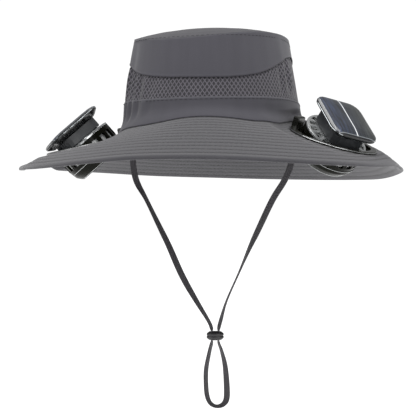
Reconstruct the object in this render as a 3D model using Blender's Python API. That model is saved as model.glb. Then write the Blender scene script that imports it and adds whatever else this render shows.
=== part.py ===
# A wide-brim sun hat with two solar-powered fans set through its brim and a hanging chin strap.
# Metres, +Z up. The origin is the middle of the head opening, at the seam of crown and brim.
# The front faces -Y, so the wearer's left is +X.
import bpy
import bmesh
import numpy as np
from math import atan2, cos, hypot, pi, radians, sin
from mathutils import Matrix, Vector

MM = 0.001
GAP = 0.3 * MM
CLOTH_WALL = 1.6 * MM

# The head opening at the seam, and how much longer each way it is than wide.
SEAM_HALF_WIDTH = 93.0 * MM
HALF_LENGTH_EXTRA = 18.0 * MM
CLOTH_COLUMNS = 76

# The crown's heights above the seam.
SIDE_TOP = 82.0 * MM
SIDE_DIP = 12.0 * MM
TIP_RISE = 8.3 * MM
BAND_HEIGHT_FRONT = 15.0 * MM
BAND_HEIGHT_SIDE = 20.0 * MM

# The brim: a stiffened cone of cloth that falls evenly to its rim.
BRIM_HALF_WIDTH = 190.0 * MM
BRIM_HALF_LENGTH = 205.0 * MM
BRIM_FALL = 46.0 * MM
BRIM_THICKNESS = 2.6 * MM
BRIM_EDGE_THICKNESS = 1.2 * MM
BRIM_STEEPNESS = hypot(1.0, BRIM_FALL / (BRIM_HALF_WIDTH - SEAM_HALF_WIDTH))

# The fan's drum: it tilts on two pins, and everything in it is stacked from its lower lip.
DRUM_RADIUS = 31.0 * MM
DRUM_WALL = 2.5 * MM
DRUM_BOTTOM = -21.4 * MM
DRUM_TOP = 6.2 * MM
LIP_HEIGHT = 6.2 * MM
SLOT_LOW = -7.2 * MM
SLOT_HIGH = 1.4 * MM
SLOT_COUNT = 18
PIN_RADIUS = 2.0 * MM
PIN_ENTRY = 0.9 * MM
GUARD_THICKNESS = 1.5 * MM
LINER_WALL = 0.9 * MM
MOTOR_RADIUS = 10.0 * MM
MOTOR_HEIGHT = 5.1 * MM
SHAFT_RADIUS = 1.2 * MM
SHAFT_LENGTH = 4.0 * MM
HUB_RADIUS = 10.6 * MM
HUB_HEIGHT = 10.2 * MM
BLADE_CLEARANCE = 0.8 * MM
BLADE_THICKNESS = 1.0 * MM
BLADE_COUNT = 7
GRILLE_THICKNESS = 1.3 * MM
GRILLE_RISE = 1.3 * MM

# The battery box and the solar panel, stacked on the drum.
BOX_LENGTH = 44.0 * MM
BOX_WIDTH = 36.0 * MM
BOX_CORNER = 8.0 * MM
BOX_HEIGHT = 10.6 * MM
PANEL_LENGTH = 61.0 * MM
PANEL_WIDTH = 49.0 * MM
PANEL_CORNER = 12.5 * MM
PANEL_TURN = radians(-15.7)
SHELL_HEIGHT = 5.2 * MM
SHELL_TAPER = 7.0 * MM
TRIM_HEIGHT = 0.6 * MM
GLASS_RISE = 3.3 * MM

# What follows from the stack, from the lip up.
LIP_TOP = DRUM_BOTTOM + LIP_HEIGHT
GUARD_TOP = LIP_TOP + GAP + GUARD_THICKNESS
MOTOR_BOTTOM = GUARD_TOP + GAP
MOTOR_TOP = MOTOR_BOTTOM + MOTOR_HEIGHT
HUB_BOTTOM = MOTOR_TOP + GAP
HUB_TOP = HUB_BOTTOM + HUB_HEIGHT
DRUM_INSIDE = DRUM_RADIUS - DRUM_WALL
LINER_RADIUS = DRUM_INSIDE - GAP
BLADE_RADIUS = LINER_RADIUS - LINER_WALL - BLADE_CLEARANCE
GRILLE_EDGE = DRUM_TOP + GAP + GRILLE_THICKNESS
GRILLE_TOP = GRILLE_EDGE + GRILLE_RISE
BOX_BOTTOM = GRILLE_TOP + GAP
SHELL_BOTTOM = BOX_BOTTOM + BOX_HEIGHT + GAP
TRIM_BOTTOM = SHELL_BOTTOM + SHELL_HEIGHT + GAP
GLASS_BOTTOM = TRIM_BOTTOM + TRIM_HEIGHT + GAP

# The ring that clamps the brim lets the drum swing inside it.
SWING_CLEARANCE = 3.0 * MM
COLLAR_WALL = 2.2 * MM
COLLAR_DEPTH = 9.6 * MM
FLANGE_WIDTH = 3.9 * MM
FLANGE_THICKNESS = 1.9 * MM
DISH_WIDTH = 5.1 * MM
DISH_THICKNESS = 1.3 * MM
DISH_GAP = 0.7 * MM
SWITCH_WIDTH = 14.0 * MM
SWITCH_DEPTH = 5.5 * MM
SWITCH_HEIGHT = 9.2 * MM
RING_SEGMENTS = 40
HOLE_CUT_DEPTH = 16.0 * MM
DRUM_REACH = hypot(0.949 * DRUM_RADIUS, LIP_TOP)
RING_BORE = DRUM_REACH + SWING_CLEARANCE
COLLAR_RADIUS = RING_BORE + COLLAR_WALL
HOLE_RADIUS = COLLAR_RADIUS + GAP
FLANGE_RADIUS = COLLAR_RADIUS + FLANGE_WIDTH
DISH_RADIUS = COLLAR_RADIUS + DISH_WIDTH
PIN_REACH = RING_BORE + PIN_ENTRY

# Where each ring sits in the brim, the flat made for it, and how the seam is drawn in beside it.
RING_TO_SEAM = 2.4 * MM
RING_FORWARD = radians(10.4)
RING_DROP = 22.2 * MM
FLAT_MARGIN = 6.5 * MM
FLAT_BLEND = 21.0 * MM
PIVOT_SINK = 1.3 * MM
PINCH_DEPTH = 7.2 * MM
PINCH_HEIGHT = 10.0 * MM
PINCH_SPREAD = radians(28.0)
RING_DISTANCE = SEAM_HALF_WIDTH - PINCH_DEPTH + FLANGE_RADIUS + RING_TO_SEAM
FLAT_RADIUS = FLANGE_RADIUS + FLAT_MARGIN

# The fan's axis, from straight up, and how far forward of the hat's side it leans.
FAN_LEAN = radians(42.0)
FAN_FORWARD = radians(30.3)
SIDES = (("left", 1.0), ("right", -1.0))

# The chin strap's ribbon and its cord lock.
RIBBON_WIDTH = 6.4 * MM
RIBBON_THICKNESS = 1.5 * MM
STRAP_PLANE_TURN = radians(21.0)
TURN_START = -120.0 * MM
TURN_LENGTH = 70.0 * MM
LOCK_LEVEL = -213.0
LOCK_HEIGHT = 10.0 * MM
LOCK_SIDE_WALL = 2.1 * MM
LOCK_END_WALL = 4.4 * MM

# The crown's outline from the seam to the top of its side.
CROWN_OUTLINE = (
    # share of the side's height, share of the seam's half width
    (0.0, 1.0),
    (0.036, 0.974),
    (0.072, 0.945),
    (0.11, 0.927),
    (0.159, 0.92),
    (0.22, 0.915),
    (0.317, 0.899),
    (0.476, 0.877),
    (0.769, 0.832),
    (0.878, 0.816),
    (0.976, 0.802),
    (1.0, 0.798),
)

# The lower edge of the plain upper band: it dips at the front and the back.
PANEL_EDGE = (
    # degrees round from the middle of the dip, share of the side's height
    (0.0, 0.402),
    (15.0, 0.41),
    (27.0, 0.439),
    (38.0, 0.487),
    (48.0, 0.554),
    (58.0, 0.629),
    (72.0, 0.732),
    (90.0, 0.78),
)
PANEL_EDGE_MIDDLE = 13.0

# The domed tip's two faces, from its turned-down edge inward.
TIP_OUTSIDE = (
    # share of the way out to the edge, share of the tip's rise
    (1.0, 0.0),
    (0.99, 0.145),
    (0.942, 0.2),
    (0.85, 0.34),
    (0.7, 0.59),
    (0.5, 0.823),
    (0.3, 0.951),
    (0.1, 1.0),
)

# How far the brim's rim falls below the seam: soft cloth, so not the same all round.
RIM_FALL = (
    # degrees round from the left side toward the back, share of the brim's fall
    (0.0, 1.04),
    (42.0, 1.15),
    (66.0, 1.1),
    (91.0, 1.05),
    (112.0, 1.0),
    (133.0, 0.97),
    (152.0, 0.94),
    (180.0, 0.98),
    (210.0, 1.01),
    (240.0, 1.05),
    (256.0, 1.01),
    (271.0, 0.94),
    (290.0, 0.94),
    (315.0, 1.01),
    (328.0, 1.03),
    (360.0, 1.04),
)

# How each ring lies in the brim.
RING_REST = {
    # side: degrees leaned outward, degrees leaned forward
    "left": (20.3, 4.5),
    "right": (11.3, 6.8),
}

# The strap's centre line, from one side of the hat round the loop to the other side.
STRAP_ROUTE = (
    # across, height, degrees the ribbon is turned to face the front
    (-83.0, 0.5, 0.0),
    (-82.0, -8.0, 0.0),
    (-82.2, -20.0, 12.0),
    (-83.6, -34.5, 70.0),
    (-82.2, -56.2, 50.0),
    (-72.9, -76.8, 18.0),
    (-56.5, -107.4, 33.0),
    (-34.7, -147.8, 70.0),
    (-16.9, -177.6, 44.0),
    (-5.6, -197.2, 15.0),
    (-1.1, -204.0, 6.0),
    (-1.1, -207.5, 0.0),
    (-1.1, -213.0, 0.0),
    (-1.1, -218.5, 0.0),
    (-1.3, -222.0, 6.0),
    (-3.9, -229.0, 22.0),
    (-6.7, -245.0, 30.0),
    (-7.1, -258.0, 30.0),
    (-6.0, -272.0, 35.0),
    (-2.5, -280.2, 40.0),
    (4.0, -282.8, 45.0),
    (10.6, -280.2, 55.0),
    (13.3, -272.0, 60.0),
    (11.9, -245.0, 37.0),
    (8.7, -229.0, 12.0),
    (5.8, -222.0, 6.0),
    (5.5, -218.5, 0.0),
    (5.5, -213.0, 0.0),
    (5.5, -207.5, 0.0),
    (5.5, -204.0, 6.0),
    (7.8, -196.7, 25.0),
    (14.1, -176.5, 10.0),
    (27.8, -146.4, 22.0),
    (47.4, -106.6, 78.0),
    (62.1, -77.2, 90.0),
    (71.3, -57.7, 90.0),
    (76.6, -41.2, 85.0),
    (81.0, -22.0, 30.0),
    (82.0, -8.0, 0.0),
    (82.8, 0.5, 0.0),
)


# Remove the start-up objects
for start_object in list(bpy.data.objects):
    bpy.data.objects.remove(start_object, do_unlink=True)


# Materials, one for each kind of surface
def plain_material(name, colour, roughness, metallic=0.0):
    material = bpy.data.materials.new(name)
    material.use_nodes = True
    shader = material.node_tree.nodes["Principled BSDF"]
    shader.inputs["Base Color"].default_value = (*colour, 1.0)
    shader.inputs["Roughness"].default_value = roughness
    shader.inputs["Metallic"].default_value = metallic
    return material


def crown_cloth():
    return plain_material("crown_cloth", (0.095, 0.093, 0.105), 0.85)


def mesh_cloth():
    return plain_material("mesh_cloth", (0.105, 0.103, 0.112), 0.9)


def band_cloth():
    return plain_material("band_cloth", (0.088, 0.086, 0.098), 0.85)


def brim_cloth():
    return plain_material("brim_cloth", (0.13, 0.125, 0.135), 0.88)


def strap_webbing():
    return plain_material("strap_webbing", (0.036, 0.033, 0.036), 0.8)


def lock_plastic():
    return plain_material("lock_plastic", (0.02, 0.02, 0.02), 0.35)


def ring_plastic():
    return plain_material("ring_plastic", (0.012, 0.012, 0.01), 0.18)


def housing_plastic():
    return plain_material("housing_plastic", (0.014, 0.014, 0.012), 0.2)


def silver_plastic():
    return plain_material("silver_plastic", (0.62, 0.63, 0.63), 0.22, 1.0)


def chrome_trim():
    return plain_material("chrome_trim", (0.75, 0.76, 0.77), 0.12, 1.0)


def motor_steel():
    return plain_material("motor_steel", (0.4, 0.4, 0.4), 0.35, 1.0)


def box_plastic():
    return plain_material("box_plastic", (0.03, 0.033, 0.037), 0.4)


def shell_plastic():
    return plain_material("shell_plastic", (0.012, 0.013, 0.015), 0.25)


def cell_glass():
    return plain_material("cell_glass", (0.02, 0.028, 0.05), 0.08)


# Frames: a ring's frame has +Z along the ring's axis, a head's frame has +Z along the fan's axis
def ellipse_radius(half_width, half_length, angle):
    return 1.0 / hypot(cos(angle) / half_width, sin(angle) / half_length)


def pinch_at(angle):
    heading = atan2(sin(angle), abs(cos(angle)))
    share = min(abs(heading + RING_FORWARD) / PINCH_SPREAD, 1.0)
    return PINCH_DEPTH * cos(0.5 * pi * share) ** 2


def seam_radius(angle):
    return ellipse_radius(SEAM_HALF_WIDTH, SEAM_HALF_WIDTH + HALF_LENGTH_EXTRA, angle) - pinch_at(angle)


def rim_radius(angle):
    return ellipse_radius(BRIM_HALF_WIDTH, BRIM_HALF_LENGTH, angle)


def rim_fall(angle):
    turns = [row[0] for row in RIM_FALL]
    falls = [row[1] * BRIM_FALL for row in RIM_FALL]
    return float(np.interp(np.degrees(angle) % 360.0, turns, falls))


def cone_height(x, y):
    angle = atan2(y, x)
    inner = seam_radius(angle)
    return -rim_fall(angle) * (hypot(x, y) - inner) / (rim_radius(angle) - inner)


def frame_from(first, second, centre):
    third = first.cross(second)
    frame = Matrix((first, second, third)).transposed().to_4x4()
    frame.translation = centre
    return frame


# The frames of both sides are given as on the left, and the right side's pieces are mirrored last
def ring_frame(side):
    lean, tip = (radians(value) for value in RING_REST[side])
    outward = Vector((cos(RING_FORWARD), -sin(RING_FORWARD), 0.0))
    forward = Vector((-sin(RING_FORWARD), -cos(RING_FORWARD), 0.0))
    upward = Vector((0.0, 0.0, 1.0))
    normal = outward * sin(lean) * cos(tip) + forward * sin(tip) + upward * cos(lean) * cos(tip)
    across = (outward - normal * outward.dot(normal)).normalized()
    return frame_from(across, normal.cross(across), outward * RING_DISTANCE - upward * RING_DROP)


def fan_axis():
    flat = sin(FAN_LEAN)
    return Vector((flat * cos(FAN_FORWARD), -flat * sin(FAN_FORWARD), cos(FAN_LEAN)))


def pivot_point(side):
    return ring_frame(side) @ Vector((0.0, 0.0, -PIVOT_SINK))


def head_frame(side):
    pin_line = ring_frame(side).col[2].to_3d().cross(fan_axis()).normalized()
    return frame_from(pin_line.cross(fan_axis()), pin_line, pivot_point(side))


def panel_frame(side):
    axis = fan_axis()
    downhill = (axis * axis.z - Vector((0.0, 0.0, 1.0))).normalized()
    return frame_from(downhill, axis.cross(downhill), pivot_point(side))


def mirrored(solid, side):
    if side == "right":
        moved(solid, Matrix.Scale(-1.0, 4, (1.0, 0.0, 0.0)))
        bmesh.ops.reverse_faces(solid, faces=solid.faces)
    return solid


def flat_height(x, y):
    ring = ring_frame("left" if x > 0.0 else "right")
    centre = ring.translation
    normal = ring.col[2].to_3d()
    away = Vector((abs(x) - centre.x, y - centre.y, 0.0))
    height = centre.z - (normal.x * away.x + normal.y * away.y) / normal.z
    distance = (away + Vector((0.0, 0.0, height - centre.z))).length
    return height, distance


def brim_height(x, y):
    plain = cone_height(x, y)
    height, distance = flat_height(x, y)
    share = min(max((distance - FLAT_RADIUS) / FLAT_BLEND, 0.0), 1.0)
    weight = 1.0 - share * share * (3.0 - 2.0 * share)
    return plain + weight * (height - plain)


# Shared solid builders
def windowed_shell(row_count, column_count, outer, inner, is_solid):
    shell = bmesh.new()
    points = {}

    def corner(layer, row, column):
        key = (layer, row, column % column_count)
        if key not in points:
            place = outer if layer == 0 else inner
            points[key] = shell.verts.new(place(row, column % column_count))
        return points[key]

    def solid(row, column):
        if row < 0 or row >= row_count - 1:
            return False
        return is_solid(row, column % column_count)

    for row in range(row_count - 1):
        for column in range(column_count):
            if not solid(row, column):
                continue
            quad = ((row, column), (row, column + 1), (row + 1, column + 1), (row + 1, column))
            shell.faces.new([corner(0, r, c) for r, c in quad])
            shell.faces.new([corner(1, r, c) for r, c in reversed(quad)])
            neighbours = ((row - 1, column), (row, column + 1), (row + 1, column), (row, column - 1))
            for side, (beside_row, beside_column) in enumerate(neighbours):
                if solid(beside_row, beside_column):
                    continue
                start = quad[side]
                end = quad[(side + 1) % 4]
                wall = [corner(0, *end), corner(0, *start), corner(1, *start), corner(1, *end)]
                shell.faces.new(wall)
    bmesh.ops.recalc_face_normals(shell, faces=shell.faces)
    return shell


def turned_ring(profile, segments):
    ring = bmesh.new()
    loops = []
    for step in range(segments):
        angle = 2.0 * pi * step / segments
        loops.append([ring.verts.new((r * cos(angle), r * sin(angle), z)) for r, z in profile])
    for step in range(segments):
        here = loops[step]
        there = loops[(step + 1) % segments]
        for k in range(len(profile)):
            after = (k + 1) % len(profile)
            ring.faces.new((here[k], there[k], there[after], here[after]))
    bmesh.ops.recalc_face_normals(ring, faces=ring.faces)
    return ring


def lofted(loops):
    solid = bmesh.new()
    rings = [[solid.verts.new(point) for point in loop] for loop in loops]
    for low, high in zip(rings, rings[1:]):
        for k in range(len(low)):
            after = (k + 1) % len(low)
            solid.faces.new((low[k], low[after], high[after], high[k]))
    solid.faces.new(list(reversed(rings[0])))
    solid.faces.new(rings[-1])
    bmesh.ops.recalc_face_normals(solid, faces=solid.faces)
    return solid


def turned_solid(profile, segments):
    loops = []
    for radius, height in profile:
        angles = [2.0 * pi * step / segments for step in range(segments)]
        loops.append([(radius * cos(a), radius * sin(a), height) for a in angles])
    return lofted(loops)


def rounded_rectangle(length, width, corner, height, turn, steps):
    loop = []
    for quarter in range(4):
        along = 1.0 if quarter in (0, 3) else -1.0
        side = 1.0 if quarter in (0, 1) else -1.0
        for step in range(steps + 1):
            angle = 0.5 * pi * (quarter + step / steps)
            x = along * (0.5 * length - corner) + corner * cos(angle)
            y = side * (0.5 * width - corner) + corner * sin(angle)
            loop.append((x * cos(turn) - y * sin(turn), x * sin(turn) + y * cos(turn), height))
    return loop


def block(low, high):
    loops = []
    for z in (low[2], high[2]):
        loops.append([(low[0], low[1], z), (high[0], low[1], z), (high[0], high[1], z), (low[0], high[1], z)])
    return lofted(loops)


def moved(solid, matrix):
    bmesh.ops.transform(solid, matrix=matrix, verts=solid.verts)
    return solid


def new_object(name, solid, material, centre=Vector((0.0, 0.0, 0.0))):
    bmesh.ops.translate(solid, vec=-centre, verts=solid.verts)
    mesh = bpy.data.meshes.new(name)
    solid.to_mesh(mesh)
    solid.free()
    mesh.shade_smooth()
    mesh.set_sharp_from_angle(angle=radians(32.0))
    item = bpy.data.objects.new(name, mesh)
    item.location = centre
    mesh.materials.append(material)
    bpy.context.collection.objects.link(item)
    return item


def combined(item, other_solid, operation):
    other = new_object("other", other_solid, item.data.materials[0])
    other.display_type = "WIRE"
    other.hide_render = True
    boolean = item.modifiers.new("combine", "BOOLEAN")
    boolean.operation = operation
    boolean.solver = "EXACT"
    boolean.object = other
    bpy.context.view_layer.update()
    evaluated = item.evaluated_get(bpy.context.evaluated_depsgraph_get())
    result = bpy.data.meshes.new_from_object(evaluated)
    item.modifiers.remove(boolean)
    old = item.data
    item.data = result
    bpy.data.meshes.remove(old)
    bpy.data.objects.remove(other, do_unlink=True)
    item.data.name = item.name
    return item


def place_pair(name, build, frames, centres, material):
    for side, sign in SIDES:
        item = build(name + "_" + side, material)
        solid = bmesh.new()
        solid.from_mesh(item.data)
        mirrored(moved(solid, frames[side]), side)
        origin = Vector((sign * centres[side].x, centres[side].y, centres[side].z))
        bmesh.ops.translate(solid, vec=-origin, verts=solid.verts)
        bmesh.ops.recalc_face_normals(solid, faces=solid.faces)
        solid.to_mesh(item.data)
        solid.free()
        item.location = origin


# The crown: a plain upper band, a mesh band below it and a lower band that meets the brim
def crown_half_width(height):
    heights = [row[0] * SIDE_TOP for row in CROWN_OUTLINE]
    widths = [row[1] * SEAM_HALF_WIDTH for row in CROWN_OUTLINE]
    return float(np.interp(height, heights, widths))


def crown_point(column, height, inset):
    angle = 2.0 * pi * column / CLOTH_COLUMNS
    half_width = crown_half_width(height) - inset
    x = half_width * cos(angle)
    y = (half_width + HALF_LENGTH_EXTRA) * sin(angle)
    pinch = pinch_at(atan2(y, x)) * min(max(1.0 - height / PINCH_HEIGHT, 0.0), 1.0)
    kept = 1.0 - pinch / hypot(x, y)
    return x * kept, y * kept


def degrees_from_dip(column):
    x, y = crown_point(column, 0.5 * SIDE_TOP, 0.0)
    turn = abs((np.degrees(atan2(x, -y)) - PANEL_EDGE_MIDDLE + 180.0) % 360.0 - 180.0)
    return min(turn, 180.0 - turn)


def panel_edge_height(column):
    degrees = [row[0] for row in PANEL_EDGE]
    heights = [row[1] * SIDE_TOP for row in PANEL_EDGE]
    return float(np.interp(degrees_from_dip(column), degrees, heights))


def band_top_height(column):
    x, y = crown_point(column, 0.0, 0.0)
    return BAND_HEIGHT_FRONT + (BAND_HEIGHT_SIDE - BAND_HEIGHT_FRONT) * (x / hypot(x, y)) ** 2


def side_top_height(column):
    return SIDE_TOP - SIDE_DIP * abs(sin(2.0 * pi * column / CLOTH_COLUMNS)) ** 2.4


def crown_strip(bottom, top, row_count):
    def surface(inset):
        def place(row, column):
            low = bottom(column)
            high = top(column)
            height = low + (high - low) * row / (row_count - 1)
            x, y = crown_point(column, height, inset)
            return x, y, height
        return place
    return windowed_shell(row_count, CLOTH_COLUMNS, surface(0.0), surface(CLOTH_WALL), lambda row, column: True)


def crown_side():
    strip = crown_strip(lambda column: panel_edge_height(column) + 0.5 * GAP, side_top_height, 4)
    new_object("crown_side", strip, crown_cloth())


def crown_mesh():
    low = lambda column: band_top_height(column) + 0.5 * GAP
    high = lambda column: panel_edge_height(column) - 0.5 * GAP
    new_object("crown_mesh", crown_strip(low, high, 3), mesh_cloth())


def crown_band():
    shares = (0.0, 0.1, 0.25, 0.42, 0.65, 1.0)

    def surface(inset):
        def place(row, column):
            top = band_top_height(column) - 0.5 * GAP
            x, y = crown_point(column, 0.0, inset)
            foot = brim_height(x, y) + GAP
            height = foot + (top - foot) * shares[row]
            x, y = crown_point(column, top * shares[row], inset)
            return x, y, height
        return place
    band = windowed_shell(len(shares), CLOTH_COLUMNS, surface(0.0), surface(CLOTH_WALL), lambda row, column: True)
    new_object("crown_band", band, band_cloth())


def crown_tip():
    def disc(wall):
        loops = []
        for width_share, rise_share in TIP_OUTSIDE:
            loop = []
            for column in range(CLOTH_COLUMNS):
                rim = side_top_height(column)
                edge = rim + GAP
                height = edge + rise_share * (SIDE_TOP + TIP_RISE - edge)
                if rise_share > 0.0:
                    height = max(height - wall, edge + 0.1 * wall)
                x, y = crown_point(column, rim, wall)
                loop.append((x * width_share, y * width_share, height))
            loops.append(loop)
        return loops
    new_object("crown_tip", lofted(list(reversed(disc(CLOTH_WALL))) + disc(0.0)), crown_cloth())


# The brim, with a hole cut square to each ring
def brim():
    shares = (-0.03, 0.0, 0.05, 0.11, 0.19, 0.28, 0.38, 0.48, 0.58, 0.67, 0.76, 0.86, 0.975, 1.0)
    foots = [crown_point(column, 0.0, 0.0) for column in range(CLOTH_COLUMNS)]
    columns = [atan2(y, x) for x, y in foots]

    def surface(side):
        def place(row, column):
            angle = columns[column]
            inner = seam_radius(angle)
            radius = inner + (rim_radius(angle) - inner) * shares[row]
            x = radius * cos(angle)
            y = radius * sin(angle)
            middle = brim_height(x, y) - 0.5 * BRIM_THICKNESS * BRIM_STEEPNESS
            thickness = BRIM_EDGE_THICKNESS if row == len(shares) - 1 else BRIM_THICKNESS
            return x, y, middle + side * 0.5 * thickness * BRIM_STEEPNESS
        return place
    cloth = windowed_shell(len(shares), CLOTH_COLUMNS, surface(1.0), surface(-1.0), lambda row, column: True)
    item = new_object("brim", cloth, brim_cloth())
    for side, _ in SIDES:
        cutter = turned_solid(((HOLE_RADIUS, -HOLE_CUT_DEPTH), (HOLE_RADIUS, HOLE_CUT_DEPTH)), RING_SEGMENTS)
        combined(item, mirrored(moved(cutter, ring_frame(side)), side), "DIFFERENCE")


# The chin strap: one flat ribbon, sewn in at each side of the head opening
def smooth_route(rows, steps):
    points = np.array(rows, dtype=float)
    ends = np.vstack((2.0 * points[0] - points[1], points, 2.0 * points[-1] - points[-2]))
    route = []
    for k in range(len(points) - 1):
        before, start, end, after = ends[k:k + 4]
        for step in range(steps):
            t = step / steps
            bend = 2.0 * before - 5.0 * start + 4.0 * end - after
            twist = 3.0 * (start - end) + after - before
            route.append(0.5 * (2.0 * start + (end - before) * t + bend * t ** 2 + twist * t ** 3))
    route.append(points[-1])
    return route


def strap_plane_turn(height):
    share = min(max((TURN_START - height) / TURN_LENGTH, 0.0), 1.0)
    return STRAP_PLANE_TURN * share * share * (3.0 - 2.0 * share)


def strap_point(across, height):
    turn = strap_plane_turn(height)
    return Vector((across * cos(turn), across * sin(turn), height))


def chin_strap():
    route = smooth_route(STRAP_ROUTE, 3)
    centres = [strap_point(row[0] * MM, row[1] * MM) for row in route]
    loops = []
    for k, centre in enumerate(centres):
        before = centres[max(k - 1, 0)]
        after = centres[min(k + 1, len(centres) - 1)]
        along = (after - before).normalized()
        turn = strap_plane_turn(centre.z)
        away = Vector((-sin(turn), cos(turn), 0.0))
        away = (away - along * away.dot(along)).normalized()
        across = along.cross(away)
        face = radians(route[k][2])
        wide = away * cos(face) + across * sin(face)
        thin = along.cross(wide)
        half_wide = wide * 0.5 * RIBBON_WIDTH
        half_thin = thin * 0.5 * RIBBON_THICKNESS
        corners = (half_wide + half_thin, half_thin - half_wide, -half_wide - half_thin, half_wide - half_thin)
        loops.append([centre + corner for corner in corners])
    new_object("chin_strap", lofted(loops), strap_webbing())


def cord_lock():
    strands = [row[0] * MM for row in STRAP_ROUTE if row[1] == LOCK_LEVEL]
    middle = 0.5 * (strands[0] + strands[-1])
    strand_offset = abs(strands[0] - middle)
    half_wide = 0.5 * RIBBON_WIDTH + GAP
    half_thin = 0.5 * RIBBON_THICKNESS + GAP
    half_high = 0.5 * LOCK_HEIGHT
    half_across = strand_offset + half_thin + LOCK_END_WALL
    half_deep = half_wide + LOCK_SIDE_WALL
    sections = (
        # share of the half height, share of the full outline
        (-1.0, 0.74),
        (-0.72, 0.93),
        (-0.3, 1.0),
        (0.0, 0.93),
        (0.3, 1.0),
        (0.72, 0.93),
        (1.0, 0.74),
    )
    steps = 20
    squareness = 0.75
    loops = []
    for level, share in sections:
        loop = []
        for step in range(steps):
            angle = 2.0 * pi * step / steps
            across = half_across * share * np.sign(cos(angle)) * abs(cos(angle)) ** squareness
            deep = half_deep * share * np.sign(sin(angle)) * abs(sin(angle)) ** squareness
            loop.append((across, deep, level * half_high))
        loops.append(loop)
    place = Matrix.Rotation(STRAP_PLANE_TURN, 4, "Z")
    place.translation = strap_point(middle, LOCK_LEVEL * MM)
    item = new_object("cord_lock", moved(lofted(loops), place), lock_plastic())
    for across in (-strand_offset, strand_offset):
        low = (across - half_thin, -half_wide, -LOCK_HEIGHT)
        high = (across + half_thin, half_wide, LOCK_HEIGHT)
        combined(item, moved(block(low, high), place), "DIFFERENCE")


# The ring in the brim: a flange and collar above, and a dished ring clamped on from below
def ring_top(name, material):
    flange_top = GAP + FLANGE_THICKNESS
    profile = (
        (RING_BORE, flange_top),
        (FLANGE_RADIUS - 0.3 * FLANGE_WIDTH, flange_top),
        (FLANGE_RADIUS, 0.6 * flange_top),
        (FLANGE_RADIUS, GAP),
        (COLLAR_RADIUS, GAP),
        (COLLAR_RADIUS, -COLLAR_DEPTH),
        (RING_BORE, -COLLAR_DEPTH),
    )
    item = new_object(name, turned_ring(profile, RING_SEGMENTS), material)
    switch_low = (-RING_BORE - GAP - SWITCH_DEPTH, -0.5 * SWITCH_WIDTH, 0.5 * flange_top)
    switch_high = (-RING_BORE - GAP, 0.5 * SWITCH_WIDTH, flange_top + SWITCH_HEIGHT)
    switch = block(switch_low, switch_high)
    upper_edges = [e for e in switch.edges if min(v.co.z for v in e.verts) > flange_top]
    bmesh.ops.bevel(switch, geom=upper_edges, offset=0.15 * SWITCH_HEIGHT, segments=2, profile=0.5, affect="EDGES")
    return combined(item, switch, "UNION")


def cut_pin_sockets():
    profile = ((PIN_RADIUS + GAP, RING_BORE - COLLAR_WALL), (PIN_RADIUS + GAP, PIN_REACH + GAP))
    for side, _ in SIDES:
        for end in (1.0, -1.0):
            socket = moved(turned_solid(profile, 16), Matrix.Rotation(-end * 0.5 * pi, 4, "X"))
            mirrored(moved(socket, head_frame(side)), side)
            combined(bpy.data.objects["ring_top_" + side], socket, "DIFFERENCE")


def ring_bottom(name, material):
    under_brim = -BRIM_THICKNESS * BRIM_STEEPNESS - DISH_GAP
    under_collar = -COLLAR_DEPTH - GAP
    bottom = under_collar - DISH_THICKNESS
    profile = (
        (HOLE_RADIUS, under_brim),
        (HOLE_RADIUS + 0.5 * DISH_WIDTH, under_brim),
        (DISH_RADIUS, 0.75 * bottom),
        (DISH_RADIUS - 0.1 * DISH_WIDTH, 0.93 * bottom),
        (DISH_RADIUS - 0.5 * DISH_WIDTH, bottom),
        (RING_BORE + GAP, bottom),
        (RING_BORE + GAP, under_collar),
        (HOLE_RADIUS, under_collar),
    )
    return new_object(name, turned_ring(profile, RING_SEGMENTS), material)


# The fan head: a slotted drum on two pins, with a silver liner, grilles, motor and blades
def fan_housing(name, material):
    columns_per_slot = 3
    columns = SLOT_COUNT * columns_per_slot
    rows = (
        # height, outer radius, inner radius
        (DRUM_BOTTOM, 0.787 * DRUM_RADIUS, 0.71 * DRUM_RADIUS),
        (LIP_TOP - 0.55 * LIP_HEIGHT, 0.871 * DRUM_RADIUS, 0.774 * DRUM_RADIUS),
        (LIP_TOP - 0.19 * LIP_HEIGHT, 0.926 * DRUM_RADIUS, 0.819 * DRUM_RADIUS),
        (LIP_TOP, 0.948 * DRUM_RADIUS, DRUM_INSIDE),
        (SLOT_LOW, DRUM_RADIUS, DRUM_INSIDE),
        (SLOT_HIGH, DRUM_RADIUS, DRUM_INSIDE),
        (DRUM_TOP, DRUM_RADIUS, DRUM_INSIDE),
    )

    def surface(which):
        def place(row, column):
            angle = 2.0 * pi * (column - 0.5) / columns
            radius = rows[row][which]
            return radius * cos(angle), radius * sin(angle), rows[row][0]
        return place

    def is_solid(row, column):
        return rows[row][0] != SLOT_LOW or column % columns_per_slot == 0
    drum = windowed_shell(len(rows), columns, surface(1), surface(2), is_solid)
    item = new_object(name, drum, material)
    for sign in (1.0, -1.0):
        pin = turned_solid(((PIN_RADIUS, DRUM_RADIUS - 0.5 * DRUM_WALL), (PIN_RADIUS, PIN_REACH)), 16)
        combined(item, moved(pin, Matrix.Rotation(-sign * 0.5 * pi, 4, "X")), "UNION")
    return item


def fan_liner(name, material):
    bottom = GUARD_TOP + GAP
    inside = LINER_RADIUS - LINER_WALL
    profile = ((LINER_RADIUS, bottom), (LINER_RADIUS, DRUM_TOP), (inside, DRUM_TOP), (inside, bottom))
    return new_object(name, turned_ring(profile, 32), material)


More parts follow.
